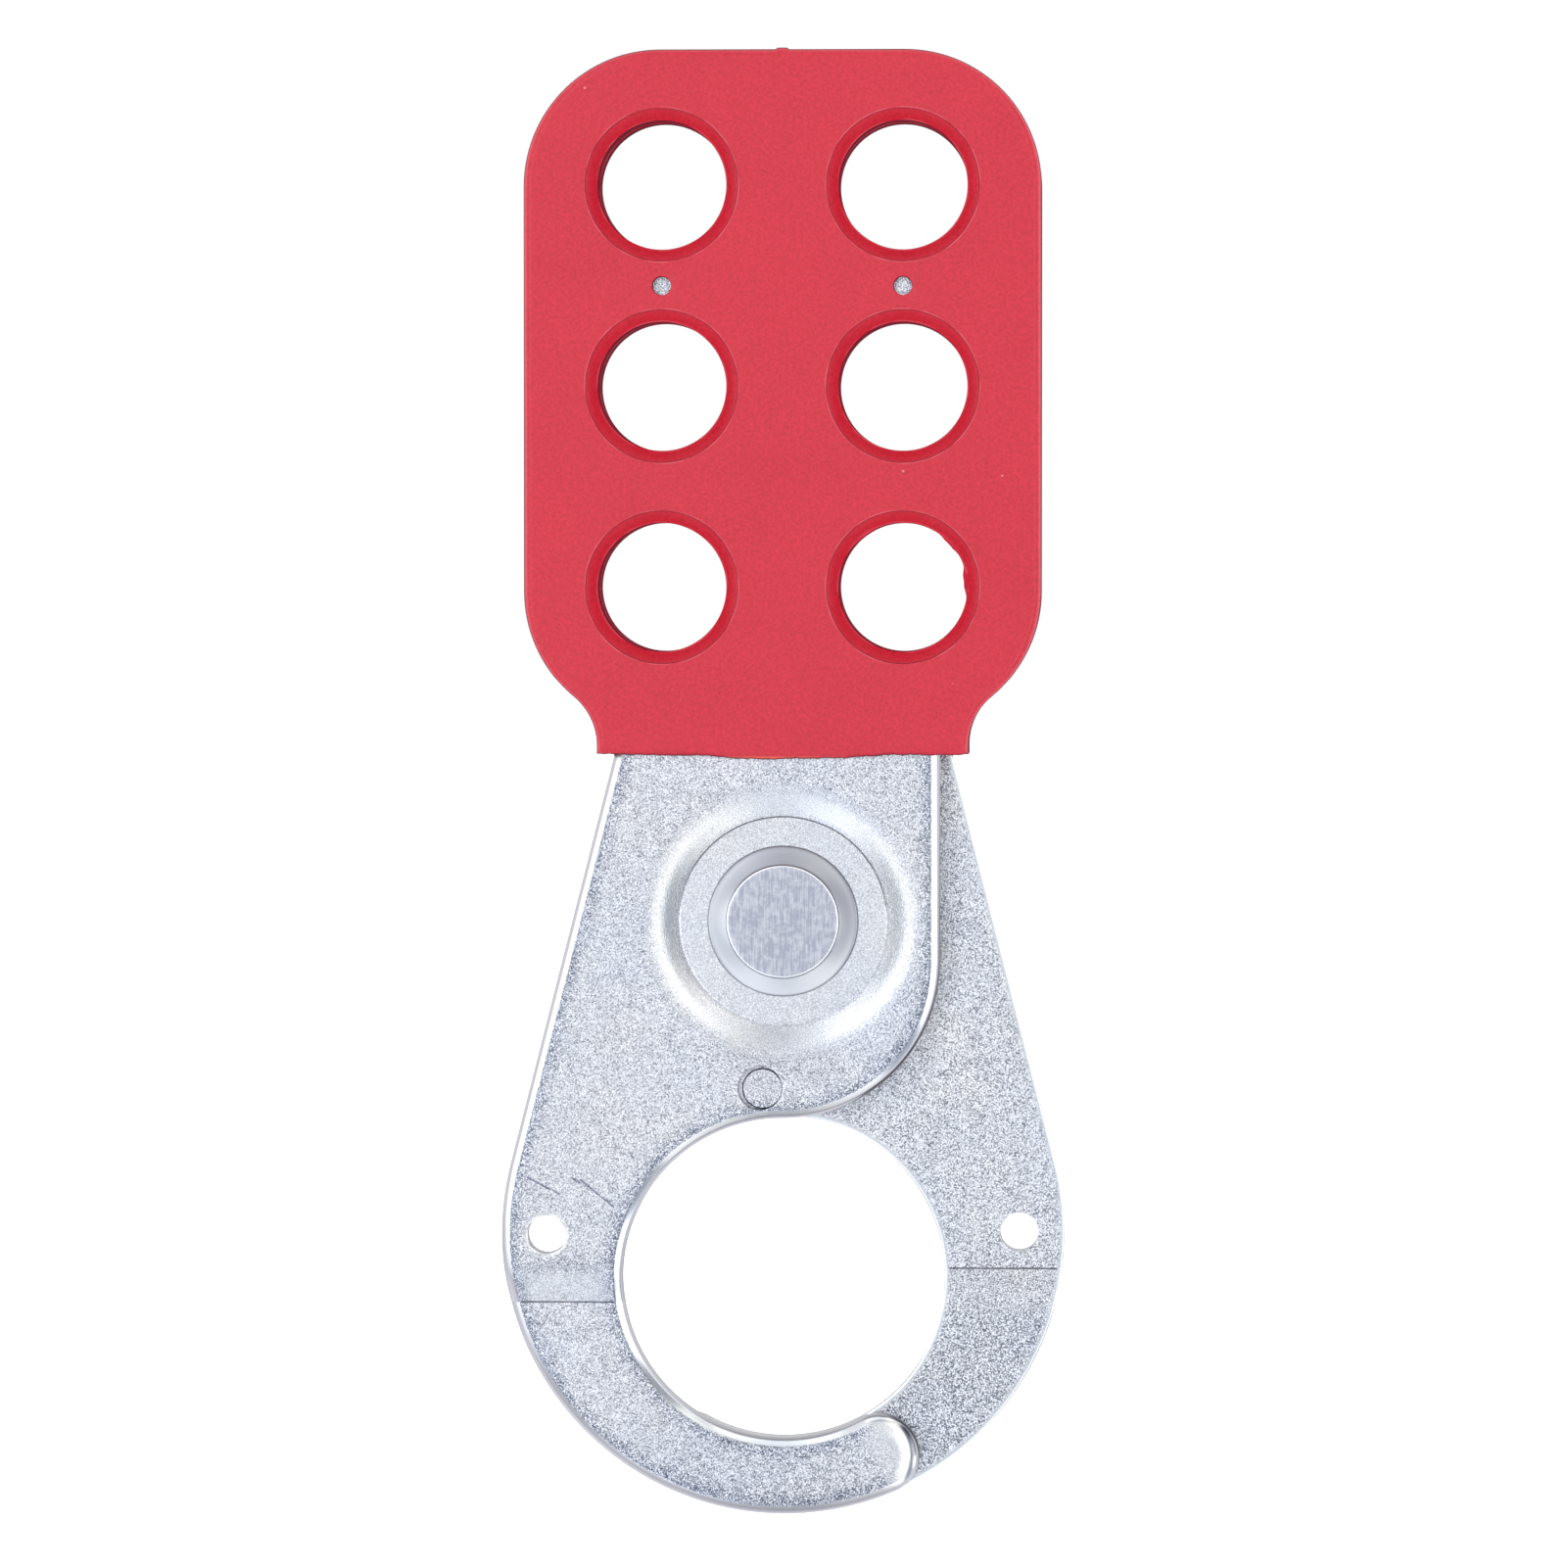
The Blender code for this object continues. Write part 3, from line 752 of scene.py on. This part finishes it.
def rivet_mesh(name):
    """The rivet turned about Y, with the same head at both ends."""
    seat = RIVET_HIGH.y - HEAD_PROFILE[0][1]
    head = [(radius, seat + rise) for radius, rise in HEAD_PROFILE] + [(SHANK_RADIUS, seat)]
    profile = head[1:] + [(radius, -depth) for radius, depth in reversed(head[1:])]
    coords = []
    for radius, depth in profile:
        for i in range(RIVET_TURNS):
            turn = TURN * i / RIVET_TURNS
            coords.append((radius * math.cos(turn), depth, radius * math.sin(turn)))
    rows = len(profile)
    faces = []
    for row in range(rows - 1):
        for i in range(RIVET_TURNS):
            j = (i + 1) % RIVET_TURNS
            first, second = row * RIVET_TURNS, (row + 1) * RIVET_TURNS
            faces.append((first + i, first + j, second + j, second + i))
    poles = len(coords)
    coords += [(0, head[0][1], 0), (0, -head[0][1], 0)]
    last = (rows - 1) * RIVET_TURNS
    for i in range(RIVET_TURNS):
        j = (i + 1) % RIVET_TURNS
        faces.append((poles, j, i))
        faces.append((poles + 1, last + i, last + j))
    mesh = bpy.data.meshes.new(name)
    placed = np.array(coords) * MM + np.array(PIVOT)
    mesh.from_pydata(placed.tolist(), [], faces)
    mesh.validate()
    smooth(mesh)
    return mesh


# Node helpers

def add(tree, kind, inputs=None, **settings):
    node = tree.nodes.new(kind)
    for key, value in settings.items():
        setattr(node, key, value)
    for key, value in (inputs or {}).items():
        if isinstance(value, bpy.types.NodeSocket):
            tree.links.new(value, node.inputs[key])
        else:
            node.inputs[key].default_value = value
    return node


def calc(tree, operation, a, b=0.0, c=0.0, clamp=False):
    inputs = {0: a, 1: b, 2: c}
    return add(tree, "ShaderNodeMath", inputs, operation=operation, use_clamp=clamp).outputs[0]


def remap(tree, value, low, high, to_low=0.0, to_high=1.0):
    inputs = {"Value": value, "From Min": low, "From Max": high, "To Min": to_low, "To Max": to_high}
    return add(tree, "ShaderNodeMapRange", inputs).outputs[0]


def blend_colour(tree, factor, a, b, mode="MIX"):
    node = add(tree, "ShaderNodeMix", {0: factor, 6: a, 7: b}, data_type="RGBA", blend_type=mode)
    return node.outputs[2]


def scaled(tree, coords, scale):
    return add(tree, "ShaderNodeMapping", {"Vector": coords, "Scale": scale}).outputs[0]


def vector_calc(tree, operation, inputs, output="Vector"):
    return add(tree, "ShaderNodeVectorMath", inputs, operation=operation).outputs[output]


def average(tree, a, b):
    return calc(tree, "ADD", calc(tree, "MULTIPLY", a, 0.5), calc(tree, "MULTIPLY", b, 0.5))


def painted(tree, name):
    """The value that a mesh carries at each point under this name."""
    return add(tree, "ShaderNodeAttribute", attribute_name=name).outputs["Fac"]


def split(tree, vector):
    return add(tree, "ShaderNodeSeparateXYZ", {"Vector": vector}).outputs


def object_coords(tree):
    return add(tree, "ShaderNodeTexCoord").outputs["Object"]


def bumped(tree, strength, distance, height, **under):
    """A bump whose distance is in millimetres, over another one if that is given."""
    inputs = {"Strength": strength, "Distance": distance * MM, "Height": height, **under}
    return add(tree, "ShaderNodeBump", inputs).outputs[0]


def noise(tree, coords, scale, detail=2.0, roughness=0.5):
    """Noise whose scale is in cells per metre."""
    inputs = {"Vector": coords, "Scale": scale, "Detail": detail, "Roughness": roughness}
    return add(tree, "ShaderNodeTexNoise", inputs).outputs[0]


def grazing(tree, low, high):
    """0 where the surface faces the eye, to 1 where it turns edge-on."""
    facing = add(tree, "ShaderNodeLayerWeight", {"Blend": 0.5}).outputs["Facing"]
    return remap(tree, facing, low, high)


def new_material(name):
    material = bpy.data.materials.new(name)
    material.use_nodes = True
    tree = material.node_tree
    return material, tree, tree.nodes["Principled BSDF"]


def colour(rgb, strength=1.0):
    return (*(strength * part for part in rgb), 1.0)


# Materials

# Zinc: noise scales, colours, and how far towards edge-on the painted shade of the outline begins and
# is full
FINE_SCALE = 14500.0
PIT_SCALE = 10000.0
MOTTLE_SCALE = 1300.0
PATCH_SCALE = 420.0
CLOUD_SCALE = 110.0
MOTTLE_SHARE = 0.14
ZINC_DARK = (0.12, 0.14, 0.19)
ZINC_LIGHT = (0.940, 0.965, 1.035)
ZINC_PLAIN = (0.92, 0.95, 0.99)
ZINC_TINTS = (0.945, 0.96, 1.0), (1.0, 0.99, 0.98)
SHOULDER_SHADE_COLOUR = (0.41, 0.45, 0.54)
SHADE_COLOUR = (0.10, 0.11, 0.14)
OUTLINE_SHADE_COLOUR = (0.28, 0.275, 0.30)
OUTLINE_FACING = (0.22, 0.33)
# The ends of the scratches beside the front tether hole, in millimetres from the pivot
ARM_SCRATCHES = [
    ((-20.1, -20.2), (-17.6, -21.5)), ((-15.9, -20.4), (-13.3, -22.5)),
    ((-16.6, -20.2), (-15.6, -20.9)),
]
SCRATCH_WIDTH = 0.12
BREAK_SCALE = 900.0
SCRATCH_COLOUR = (0.34, 0.37, 0.45)
FLATTEN = (1.0, 0.0, 1.0)  # drops the depth from a place

# Rivet: the radii between which its flat ends and a bright ring around it comes and goes
FLAT_EDGE = (4.36 * MM, 4.28 * MM)
GLINT_INNER = (4.27 * MM, 4.32 * MM)
GLINT_OUTER = (4.42 * MM, 4.38 * MM)
LINE_SCALES = (9000.0, 300.0, 500.0)
SMUDGE_SCALE = 1700.0
GLINT_COLOUR = (0.96, 0.97, 1.0)
WORN_COLOURS = (0.44, 0.46, 0.56), (0.68, 0.70, 0.78)
# The flanks' lit and shaded colours: a painted shade, darker towards FLANK_LEAN
FLANK_LIT_AND_SHADED_COLOURS = (0.69, 0.72, 0.78), (0.46, 0.475, 0.535)
FLANK_LEAN = (0.45, 0.89)  # the flank is darker towards this direction, across and up

# Plastic
RED_COLOURS = (0.515, 0.0037, 0.0225), (0.655, 0.0107, 0.041)
RED_CLOUD_TINTS = (0.95, 0.94, 0.95), (1.0, 1.0, 1.0)
FLECK_COLOUR = (0.9, 0.35, 0.4)
FLECK_SCALE = 520.0
RED_FINE_SCALE = 3600.0
RED_CLOUD_SCALE = 160.0
LIP_SCALE = 500.0
FOOT_HIGHLIGHT_COLOUR = (0.85, 0.13, 0.07)
RIM_SHADE_COLOUR = (0.90, 0.52, 0.66)
RIM_HIGHLIGHT_COLOUR = (0.85, 0.20, 0.25)
# Painted shade: a dark outline where the plastic turns edge-on
RED_OUTLINE_SHADE_COLOUR = (0.17, 0.030, 0.050)
RED_OUTLINE_FACING = (0.38, 0.66)


def scratch(tree, flat_place, start, end, breaks):
    """A thin broken line between two points given in millimetres from the pivot."""
    first, last = (Vector((x * MM, 0, z * MM + PIVOT.z)) for x, z in (start, end))
    run = last - first
    offset = vector_calc(tree, "SUBTRACT", {0: flat_place, 1: first})
    along = vector_calc(tree, "DOT_PRODUCT", {0: offset, 1: run / run.length_squared}, "Value")
    along = calc(tree, "MULTIPLY", along, 1.0, clamp=True)
    foot = vector_calc(tree, "SCALE", {0: run, "Scale": along})
    gap = vector_calc(tree, "DISTANCE", {0: offset, 1: foot}, "Value")
    line = remap(tree, gap, SCRATCH_WIDTH * MM, 0.3 * SCRATCH_WIDTH * MM)
    return calc(tree, "MULTIPLY", line, remap(tree, breaks, 0.3, 0.42))


def metal(tree, shader, base, rough, normal):
    tree.links.new(base, shader.inputs["Base Color"])
    tree.links.new(rough, shader.inputs["Roughness"])
    tree.links.new(normal, shader.inputs["Normal"])
    shader.inputs["Metallic"].default_value = 1.0


def tumbled_tone(tree, grain_noise, height, contrast, levels):
    """Dark to light tone of the grain, which gets harsher and darker down through the levels."""
    tone = remap(tree, grain_noise, 0.5 - contrast, 0.5 + 0.65 * contrast)
    harsh = remap(tree, grain_noise, 0.5 - 0.60 * contrast, 0.5 + 0.66 * contrast)
    # Harsher and darker towards the bottom, between the two levels
    worked = remap(tree, height, *(PIVOT.z + level * MM for level in levels))
    rest = calc(tree, "SUBTRACT", 1.0, worked)
    return calc(tree, "ADD", calc(tree, "MULTIPLY", worked, harsh), calc(tree, "MULTIPLY", rest, tone))


def zinc_material(name, brightness, contrast, levels, scratches):
    """Bright zinc over a tumbled grain.

    The grain attribute fades the grain out on worked edges, a painted shade band beside the edges
    darkens it, and the shade attribute, a painted shade, darkens the metal. levels are the heights,
    from the pivot, between which the grain gets harsher.
    """
    material, tree, shader = new_material(name)
    coords = object_coords(tree)
    _, depth, height = split(tree, coords)
    grain = painted(tree, "grain")
    speck = average(tree, noise(tree, coords, FINE_SCALE, 0.0), noise(tree, coords, PIT_SCALE, 0.0))
    mottle = noise(tree, coords, MOTTLE_SCALE, 2.0, 0.6)
    mottle = calc(tree, "MULTIPLY_ADD", mottle, MOTTLE_SHARE, -MOTTLE_SHARE / 2)
    mottled = calc(tree, "ADD", speck, mottle)
    tone = tumbled_tone(tree, mottled, height, contrast, levels)
    dark, light, plain = (colour(rgb, brightness) for rgb in (ZINC_DARK, ZINC_LIGHT, ZINC_PLAIN))
    base = blend_colour(tree, grain, plain, blend_colour(tree, tone, dark, light))
    cloud = remap(tree, noise(tree, coords, CLOUD_SCALE, 3.0, 0.6), 0.35, 0.65)
    tint = blend_colour(tree, cloud, *map(colour, ZINC_TINTS))
    base = blend_colour(tree, 1.0, base, tint, "MULTIPLY")
    # Painted shade: darker specks in the band beside the worked edges and above the step
    dotted = calc(tree, "MULTIPLY", painted(tree, "shoulder_shade"), remap(tree, mottled, 0.60, 0.46))
    base = blend_colour(tree, dotted, base, colour(SHOULDER_SHADE_COLOUR), "MULTIPLY")
    base = blend_colour(tree, painted(tree, "shade"), base, colour(SHADE_COLOUR), "MULTIPLY")
    if scratches:
        flat_place = vector_calc(tree, "MULTIPLY", {0: coords, 1: FLATTEN})
        outside = calc(tree, "LESS_THAN", depth, -STEEL * MM)
        breaks = noise(tree, coords, BREAK_SCALE)
        for start, end in ARM_SCRATCHES:
            mark = calc(tree, "MULTIPLY", scratch(tree, flat_place, start, end, breaks), outside)
            base = blend_colour(tree, mark, base, colour(SCRATCH_COLOUR), "MULTIPLY")
    # Painted shade: a dark outline where the metal turns edge-on
    base = blend_colour(tree, grazing(tree, *OUTLINE_FACING), base, colour(OUTLINE_SHADE_COLOUR))
    patch = noise(tree, coords, PATCH_SCALE)
    grainy = bumped(tree, calc(tree, "MULTIPLY_ADD", grain, 0.95, 0.05), 0.04, speck)
    wavy = bumped(tree, 0.5, 0.03, patch, Normal=grainy)
    metal(tree, shader, base, calc(tree, "MULTIPLY_ADD", grain, 0.12, 0.2), wavy)
    return material


def rivet_material(name):
    """Plated steel with fine upright scratches on the heads' flats, a painted shade on the flanks and
    a painted highlight ring around each flat.
    """
    material, tree, shader = new_material(name)
    coords = object_coords(tree)
    lines = noise(tree, scaled(tree, coords, LINE_SCALES), 1.0, 2.0, 0.6)
    smudge = noise(tree, coords, SMUDGE_SCALE, 4.0, 0.7)
    centred = vector_calc(tree, "SUBTRACT", {0: coords, 1: PIVOT})
    flat_place = vector_calc(tree, "MULTIPLY", {0: centred, 1: FLATTEN})
    away = vector_calc(tree, "LENGTH", {0: flat_place}, "Value")
    on_flat = remap(tree, away, *FLAT_EDGE)
    glint = calc(tree, "MULTIPLY", remap(tree, away, *GLINT_INNER), remap(tree, away, *GLINT_OUTER))
    across, _, up = split(tree, centred)
    # Painted shade: the flank darker towards its upper side, leaning right
    lean = [calc(tree, "MULTIPLY", part, share) for part, share in zip((across, up), FLANK_LEAN)]
    flank_shade = remap(tree, calc(tree, "DIVIDE", calc(tree, "ADD", *lean), away), -0.3, 0.7)
    flank = blend_colour(tree, flank_shade, *map(colour, FLANK_LIT_AND_SHADED_COLOURS))
    tone = remap(tree, average(tree, lines, smudge), 0.43, 0.58)
    worn = blend_colour(tree, tone, *map(colour, WORN_COLOURS))
    base = blend_colour(tree, on_flat, flank, worn)
    base = blend_colour(tree, glint, base, colour(GLINT_COLOUR))
    brushed = bumped(tree, calc(tree, "MULTIPLY_ADD", on_flat, 0.45, 0.05), 0.01, lines)
    metal(tree, shader, base, calc(tree, "MULTIPLY_ADD", on_flat, -0.12, 0.42), brushed)
    return material


def flecks(tree, coords):
    """Sparse round dust specks, at half strength."""
    dust = add(tree, "ShaderNodeTexVoronoi", {"Vector": coords, "Scale": FLECK_SCALE}, feature="F1")
    sparse = calc(tree, "GREATER_THAN", split(tree, dust.outputs["Color"])["X"], 0.93)
    fleck = calc(tree, "MULTIPLY", remap(tree, dust.outputs["Distance"], 0.07, 0.04), sparse)
    return calc(tree, "MULTIPLY", fleck, 0.5)


def plastic_material(name):
    """Satin moulded red: faint mottling, dust specks, a painted highlight along the thin foot, painted
    shade on the sunken hole rims with painted highlights on their edges, and a painted dark outline
    edge-on.
    """
    material, tree, shader = new_material(name)
    coords = object_coords(tree)
    fine = noise(tree, coords, RED_FINE_SCALE, 2.0, 0.6)
    cloud = noise(tree, coords, RED_CLOUD_SCALE, 3.0, 0.6)
    base = blend_colour(tree, remap(tree, fine, 0.3, 0.7), *map(colour, RED_COLOURS))
    red_cloud_tint = blend_colour(tree, remap(tree, cloud, 0.3, 0.7), *map(colour, RED_CLOUD_TINTS))
    base = blend_colour(tree, 1.0, base, red_cloud_tint, "MULTIPLY")
    base = blend_colour(tree, flecks(tree, coords), base, colour(FLECK_COLOUR))
    # Painted highlight: a thin lighter orange band along the foot's edge
    foot = PIVOT.z + COVER_BOTTOM * MM
    thin = remap(tree, split(tree, coords)["Z"], foot - 0.05 * MM, foot - 0.22 * MM)
    base = blend_colour(tree, thin, base, colour(FOOT_HIGHLIGHT_COLOUR))
    # Painted shade: deeper red with less gloss on the sunken rims; painted highlight: broken paler
    # lines on their edges
    rim_shade = painted(tree, "rim_shade")
    base = blend_colour(tree, rim_shade, base, colour(RIM_SHADE_COLOUR), "MULTIPLY")
    patches = remap(tree, noise(tree, coords, LIP_SCALE, 1.0), 0.4, 0.62, 0.0, 0.36)
    rim_highlight = calc(tree, "MULTIPLY", painted(tree, "rim_highlight"), patches)
    base = blend_colour(tree, rim_highlight, base, colour(RIM_HIGHLIGHT_COLOUR))
    # Painted shade: a dark outline where the plastic turns edge-on, with less gloss there
    edge_on = grazing(tree, *RED_OUTLINE_FACING)
    base = blend_colour(tree, edge_on, base, colour(RED_OUTLINE_SHADE_COLOUR))
    gloss = calc(tree, "MULTIPLY_ADD", edge_on, -0.6, 0.6)
    gloss = calc(tree, "MULTIPLY_ADD", rim_shade, -0.42, gloss, clamp=True)
    tree.links.new(base, shader.inputs["Base Color"])
    tree.links.new(remap(tree, cloud, 0.3, 0.7, 0.34, 0.42), shader.inputs["Roughness"])
    tree.links.new(gloss, shader.inputs["Specular IOR Level"])
    tree.links.new(bumped(tree, 0.35, 0.02, fine), shader.inputs["Normal"])
    return material


# Pieces

def place(name, mesh, material, slot, node, body, half_turn=False):
    """A finished piece that stands for a CAD node and rides on its body."""
    mesh.materials.clear()
    mesh.materials.append(material)
    piece = bpy.data.objects.new(name, mesh)
    if half_turn:
        piece.rotation_euler.z = math.pi
    bpy.context.scene.collection.objects.link(piece)
    weighted = piece.modifiers.new("even_normals", "WEIGHTED_NORMAL")
    weighted.keep_sharp = True
    weighted.weight = 60
    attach(piece, body)
    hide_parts(node)


zinc_front = zinc_material(
    "zinc_plated_steel_front", brightness=0.945, contrast=0.23, levels=(-38.0, -48.0), scratches=True)
# The rear copy is a little darker: painted shade for the rear plate lying behind the front one. Its
# grain contrast and levels are its own.
zinc_rear = zinc_material(
    "zinc_plated_steel_rear", brightness=0.93, contrast=0.15, levels=(-24.0, -36.0), scratches=False)
red_plastic = plastic_material("red_plastic_satin")
rivet_steel = rivet_material("rivet_steel_brushed")

for side, zinc, turned in (("front", zinc_front, False), ("rear", zinc_rear, True)):
    half = side + "_half"
    jaw = plate_mesh(side + "_jaw")
    place(side + "_jaw", jaw, zinc, "zinc_plated_steel", side + "_jaw_plate", half, turned)
    cover = cut(cover_mesh(side + "_cover_block", not turned), pocket_mesh(side + "_pocket"))
    paint_rims(cover)
    place(side + "_cover", cover, red_plastic, "red_plastic", side + "_handle_cover", half, turned)

place("rivet", rivet_mesh("rivet"), rivet_steel, "rivet_steel", "pivot_rivet", "rear_half")


# Studio

def ramp_colour(tree, value, stops):
    """A colour ramp through (position, strength, tint) stops."""
    node = add(tree, "ShaderNodeValToRGB", {0: value})
    node.color_ramp.interpolation = "EASE"
    elements = node.color_ramp.elements
    while len(elements) < len(stops):
        elements.new(0.5)
    for element, (position, strength, tint) in zip(elements, sorted(stops)):
        element.position = position
        element.color = colour(tint, strength)
    return node.outputs[0]


WHITE = (1.0, 1.0, 1.0)
COOL = (0.95, 0.97, 1.0)
WARM = (1.0, 0.98, 0.93)
BLUE = (0.88, 0.93, 1.06)
# Surroundings on the camera's side, from far left to far right, by the direction's x
FRONT_STOPS = [
    (-1.0, 2.3, WHITE), (-0.90, 2.1, WHITE), (-0.85, 0.66, COOL), (-0.68, 0.42, COOL),
    (-0.58, 1.25, WHITE), (-0.26, 1.42, WHITE), (-0.12, 0.94, COOL), (0.0, 0.80, COOL),
    (0.08, 0.82, COOL), (0.20, 1.25, WARM), (0.57, 1.42, WARM), (0.67, 0.31, BLUE),
    (0.84, 0.34, BLUE), (0.90, 1.9, WHITE), (1.0, 2.3, WHITE),
]
# Surroundings behind the object, by the direction's y
BACK_STOPS = [
    (0.0, 2.3, WHITE), (0.30, 2.1, WHITE), (0.72, 1.9, WHITE), (0.84, 0.95, COOL), (1.0, 0.95, WHITE),
]
# What both are multiplied by, from below to above, by the direction's z, halved and centred on 0.5
HEIGHT_STOPS = [
    (0.0, 0.80, COOL), (0.06, 0.95, COOL), (0.14, 1.14, COOL), (0.24, 1.10, COOL),
    (0.31, 0.97, COOL), (0.44, 0.90, COOL), (0.5, 1.0, WHITE), (0.72, 1.0, WHITE),
    (0.82, 1.02, WHITE), (0.88, 0.92, (0.97, 1.0, 0.98)), (0.93, 0.55, WHITE), (1.0, 0.50, WHITE),
]
MIDDLE = (0.0, 0.0, 0.06)
# Soft lights: place, size, power and tint
SOFTBOXES = {
    "key": ((-0.42, -0.9, 0.20), (0.3, 0.9), 0.8, (1.0, 1.0, 1.0)),
    "fill": ((0.42, -0.9, 0.10), (0.25, 0.9), 0.5, (1.0, 0.98, 0.93)),
    "top": ((0.0, -0.1, 0.9), (0.8, 0.5), 0.8, (0.97, 0.99, 1.0)),
}
FLOOR_DROP = 0.03  # clears the front handle when the jaws are open
FLOOR_HALF_SIZE = 6.0
FLOOR_COLOUR = (0.88, 0.89, 0.91)
FLOOR_GLOW = 0.5  # seen by the camera only
CAMERA_DISTANCE = 0.613
CAMERA_RIGHT = 0.024
CAMERA_RISE = 0.018
FRAME_WIDTH = 0.12315  # width of the frame at the front plate
SENSOR_WIDTH = 36.0


def studio_world():
    world = bpy.data.worlds.new("studio")
    world.use_nodes = True
    tree = world.node_tree
    background = tree.nodes["Background"]
    direction = add(tree, "ShaderNodeTexCoord").outputs["Generated"]
    x, y, z = split(tree, direction)
    across = calc(tree, "MULTIPLY_ADD", x, 0.5, 0.5)
    upward = calc(tree, "MULTIPLY_ADD", z, 0.5, 0.5)
    front = ramp_colour(tree, across, [(stop[0] / 2 + 0.5, *stop[1:]) for stop in FRONT_STOPS])
    back = ramp_colour(tree, y, BACK_STOPS)
    surround = blend_colour(tree, remap(tree, y, -0.15, 0.1), front, back)
    by_height = ramp_colour(tree, upward, HEIGHT_STOPS)
    surround = blend_colour(tree, 1.0, surround, by_height, "MULTIPLY")
    camera_ray = add(tree, "ShaderNodeLightPath").outputs["Is Camera Ray"]
    seen = blend_colour(tree, camera_ray, surround, colour(WHITE))
    tree.links.new(seen, background.inputs["Color"])
    background.inputs["Strength"].default_value = 1.0
    bpy.context.scene.world = world


def aim(thing, location, target):
    """Put a light or camera at the location, facing the target."""
    thing.location = location
    thing.rotation_euler = (Vector(target) - Vector(location)).to_track_quat("-Z", "Y").to_euler()
    bpy.context.scene.collection.objects.link(thing)


def softbox(name, location, size, power, tint):
    data = bpy.data.lights.new(name, "AREA")
    data.shape = "RECTANGLE"
    data.size, data.size_y = size
    data.energy = power
    data.color = tint
    aim(bpy.data.objects.new(name, data), location, MIDDLE)


def floor():
    size = FLOOR_HALF_SIZE
    mesh = bpy.data.meshes.new("floor")
    corners = [(-size, -size, 0), (size, -size, 0), (size, size, 0), (-size, size, 0)]
    mesh.from_pydata(corners, [], [(0, 1, 2, 3)])
    material, tree, shader = new_material("pale_floor")
    shader.inputs["Base Color"].default_value = colour(FLOOR_COLOUR)
    shader.inputs["Roughness"].default_value = 0.8
    shader.inputs["Emission Color"].default_value = colour(WHITE)
    camera_ray = add(tree, "ShaderNodeLightPath").outputs["Is Camera Ray"]
    glow = calc(tree, "MULTIPLY", camera_ray, FLOOR_GLOW)
    tree.links.new(glow, shader.inputs["Emission Strength"])
    mesh.materials.append(material)
    plane = bpy.data.objects.new("floor", mesh)
    plane.location.z = cad_box[0][2] - FLOOR_DROP
    plane.visible_glossy = False
    bpy.context.scene.collection.objects.link(plane)


def camera():
    centre = (Vector(cad_box[0]) + Vector(cad_box[1])) / 2
    data = bpy.data.cameras.new("camera")
    data.sensor_width = SENSOR_WIDTH
    data.lens = data.sensor_width * (CAMERA_DISTANCE - STEEL * MM) / FRAME_WIDTH
    data.clip_start = 0.01
    eye = bpy.data.objects.new("camera", data)
    aim(eye, centre + Vector((CAMERA_RIGHT, -CAMERA_DISTANCE, CAMERA_RISE)), centre)
    bpy.context.scene.camera = eye


studio_world()
for light, settings in SOFTBOXES.items():
    softbox(light, *settings)
floor()
camera()
bpy.context.scene.view_settings.view_transform = "Standard"
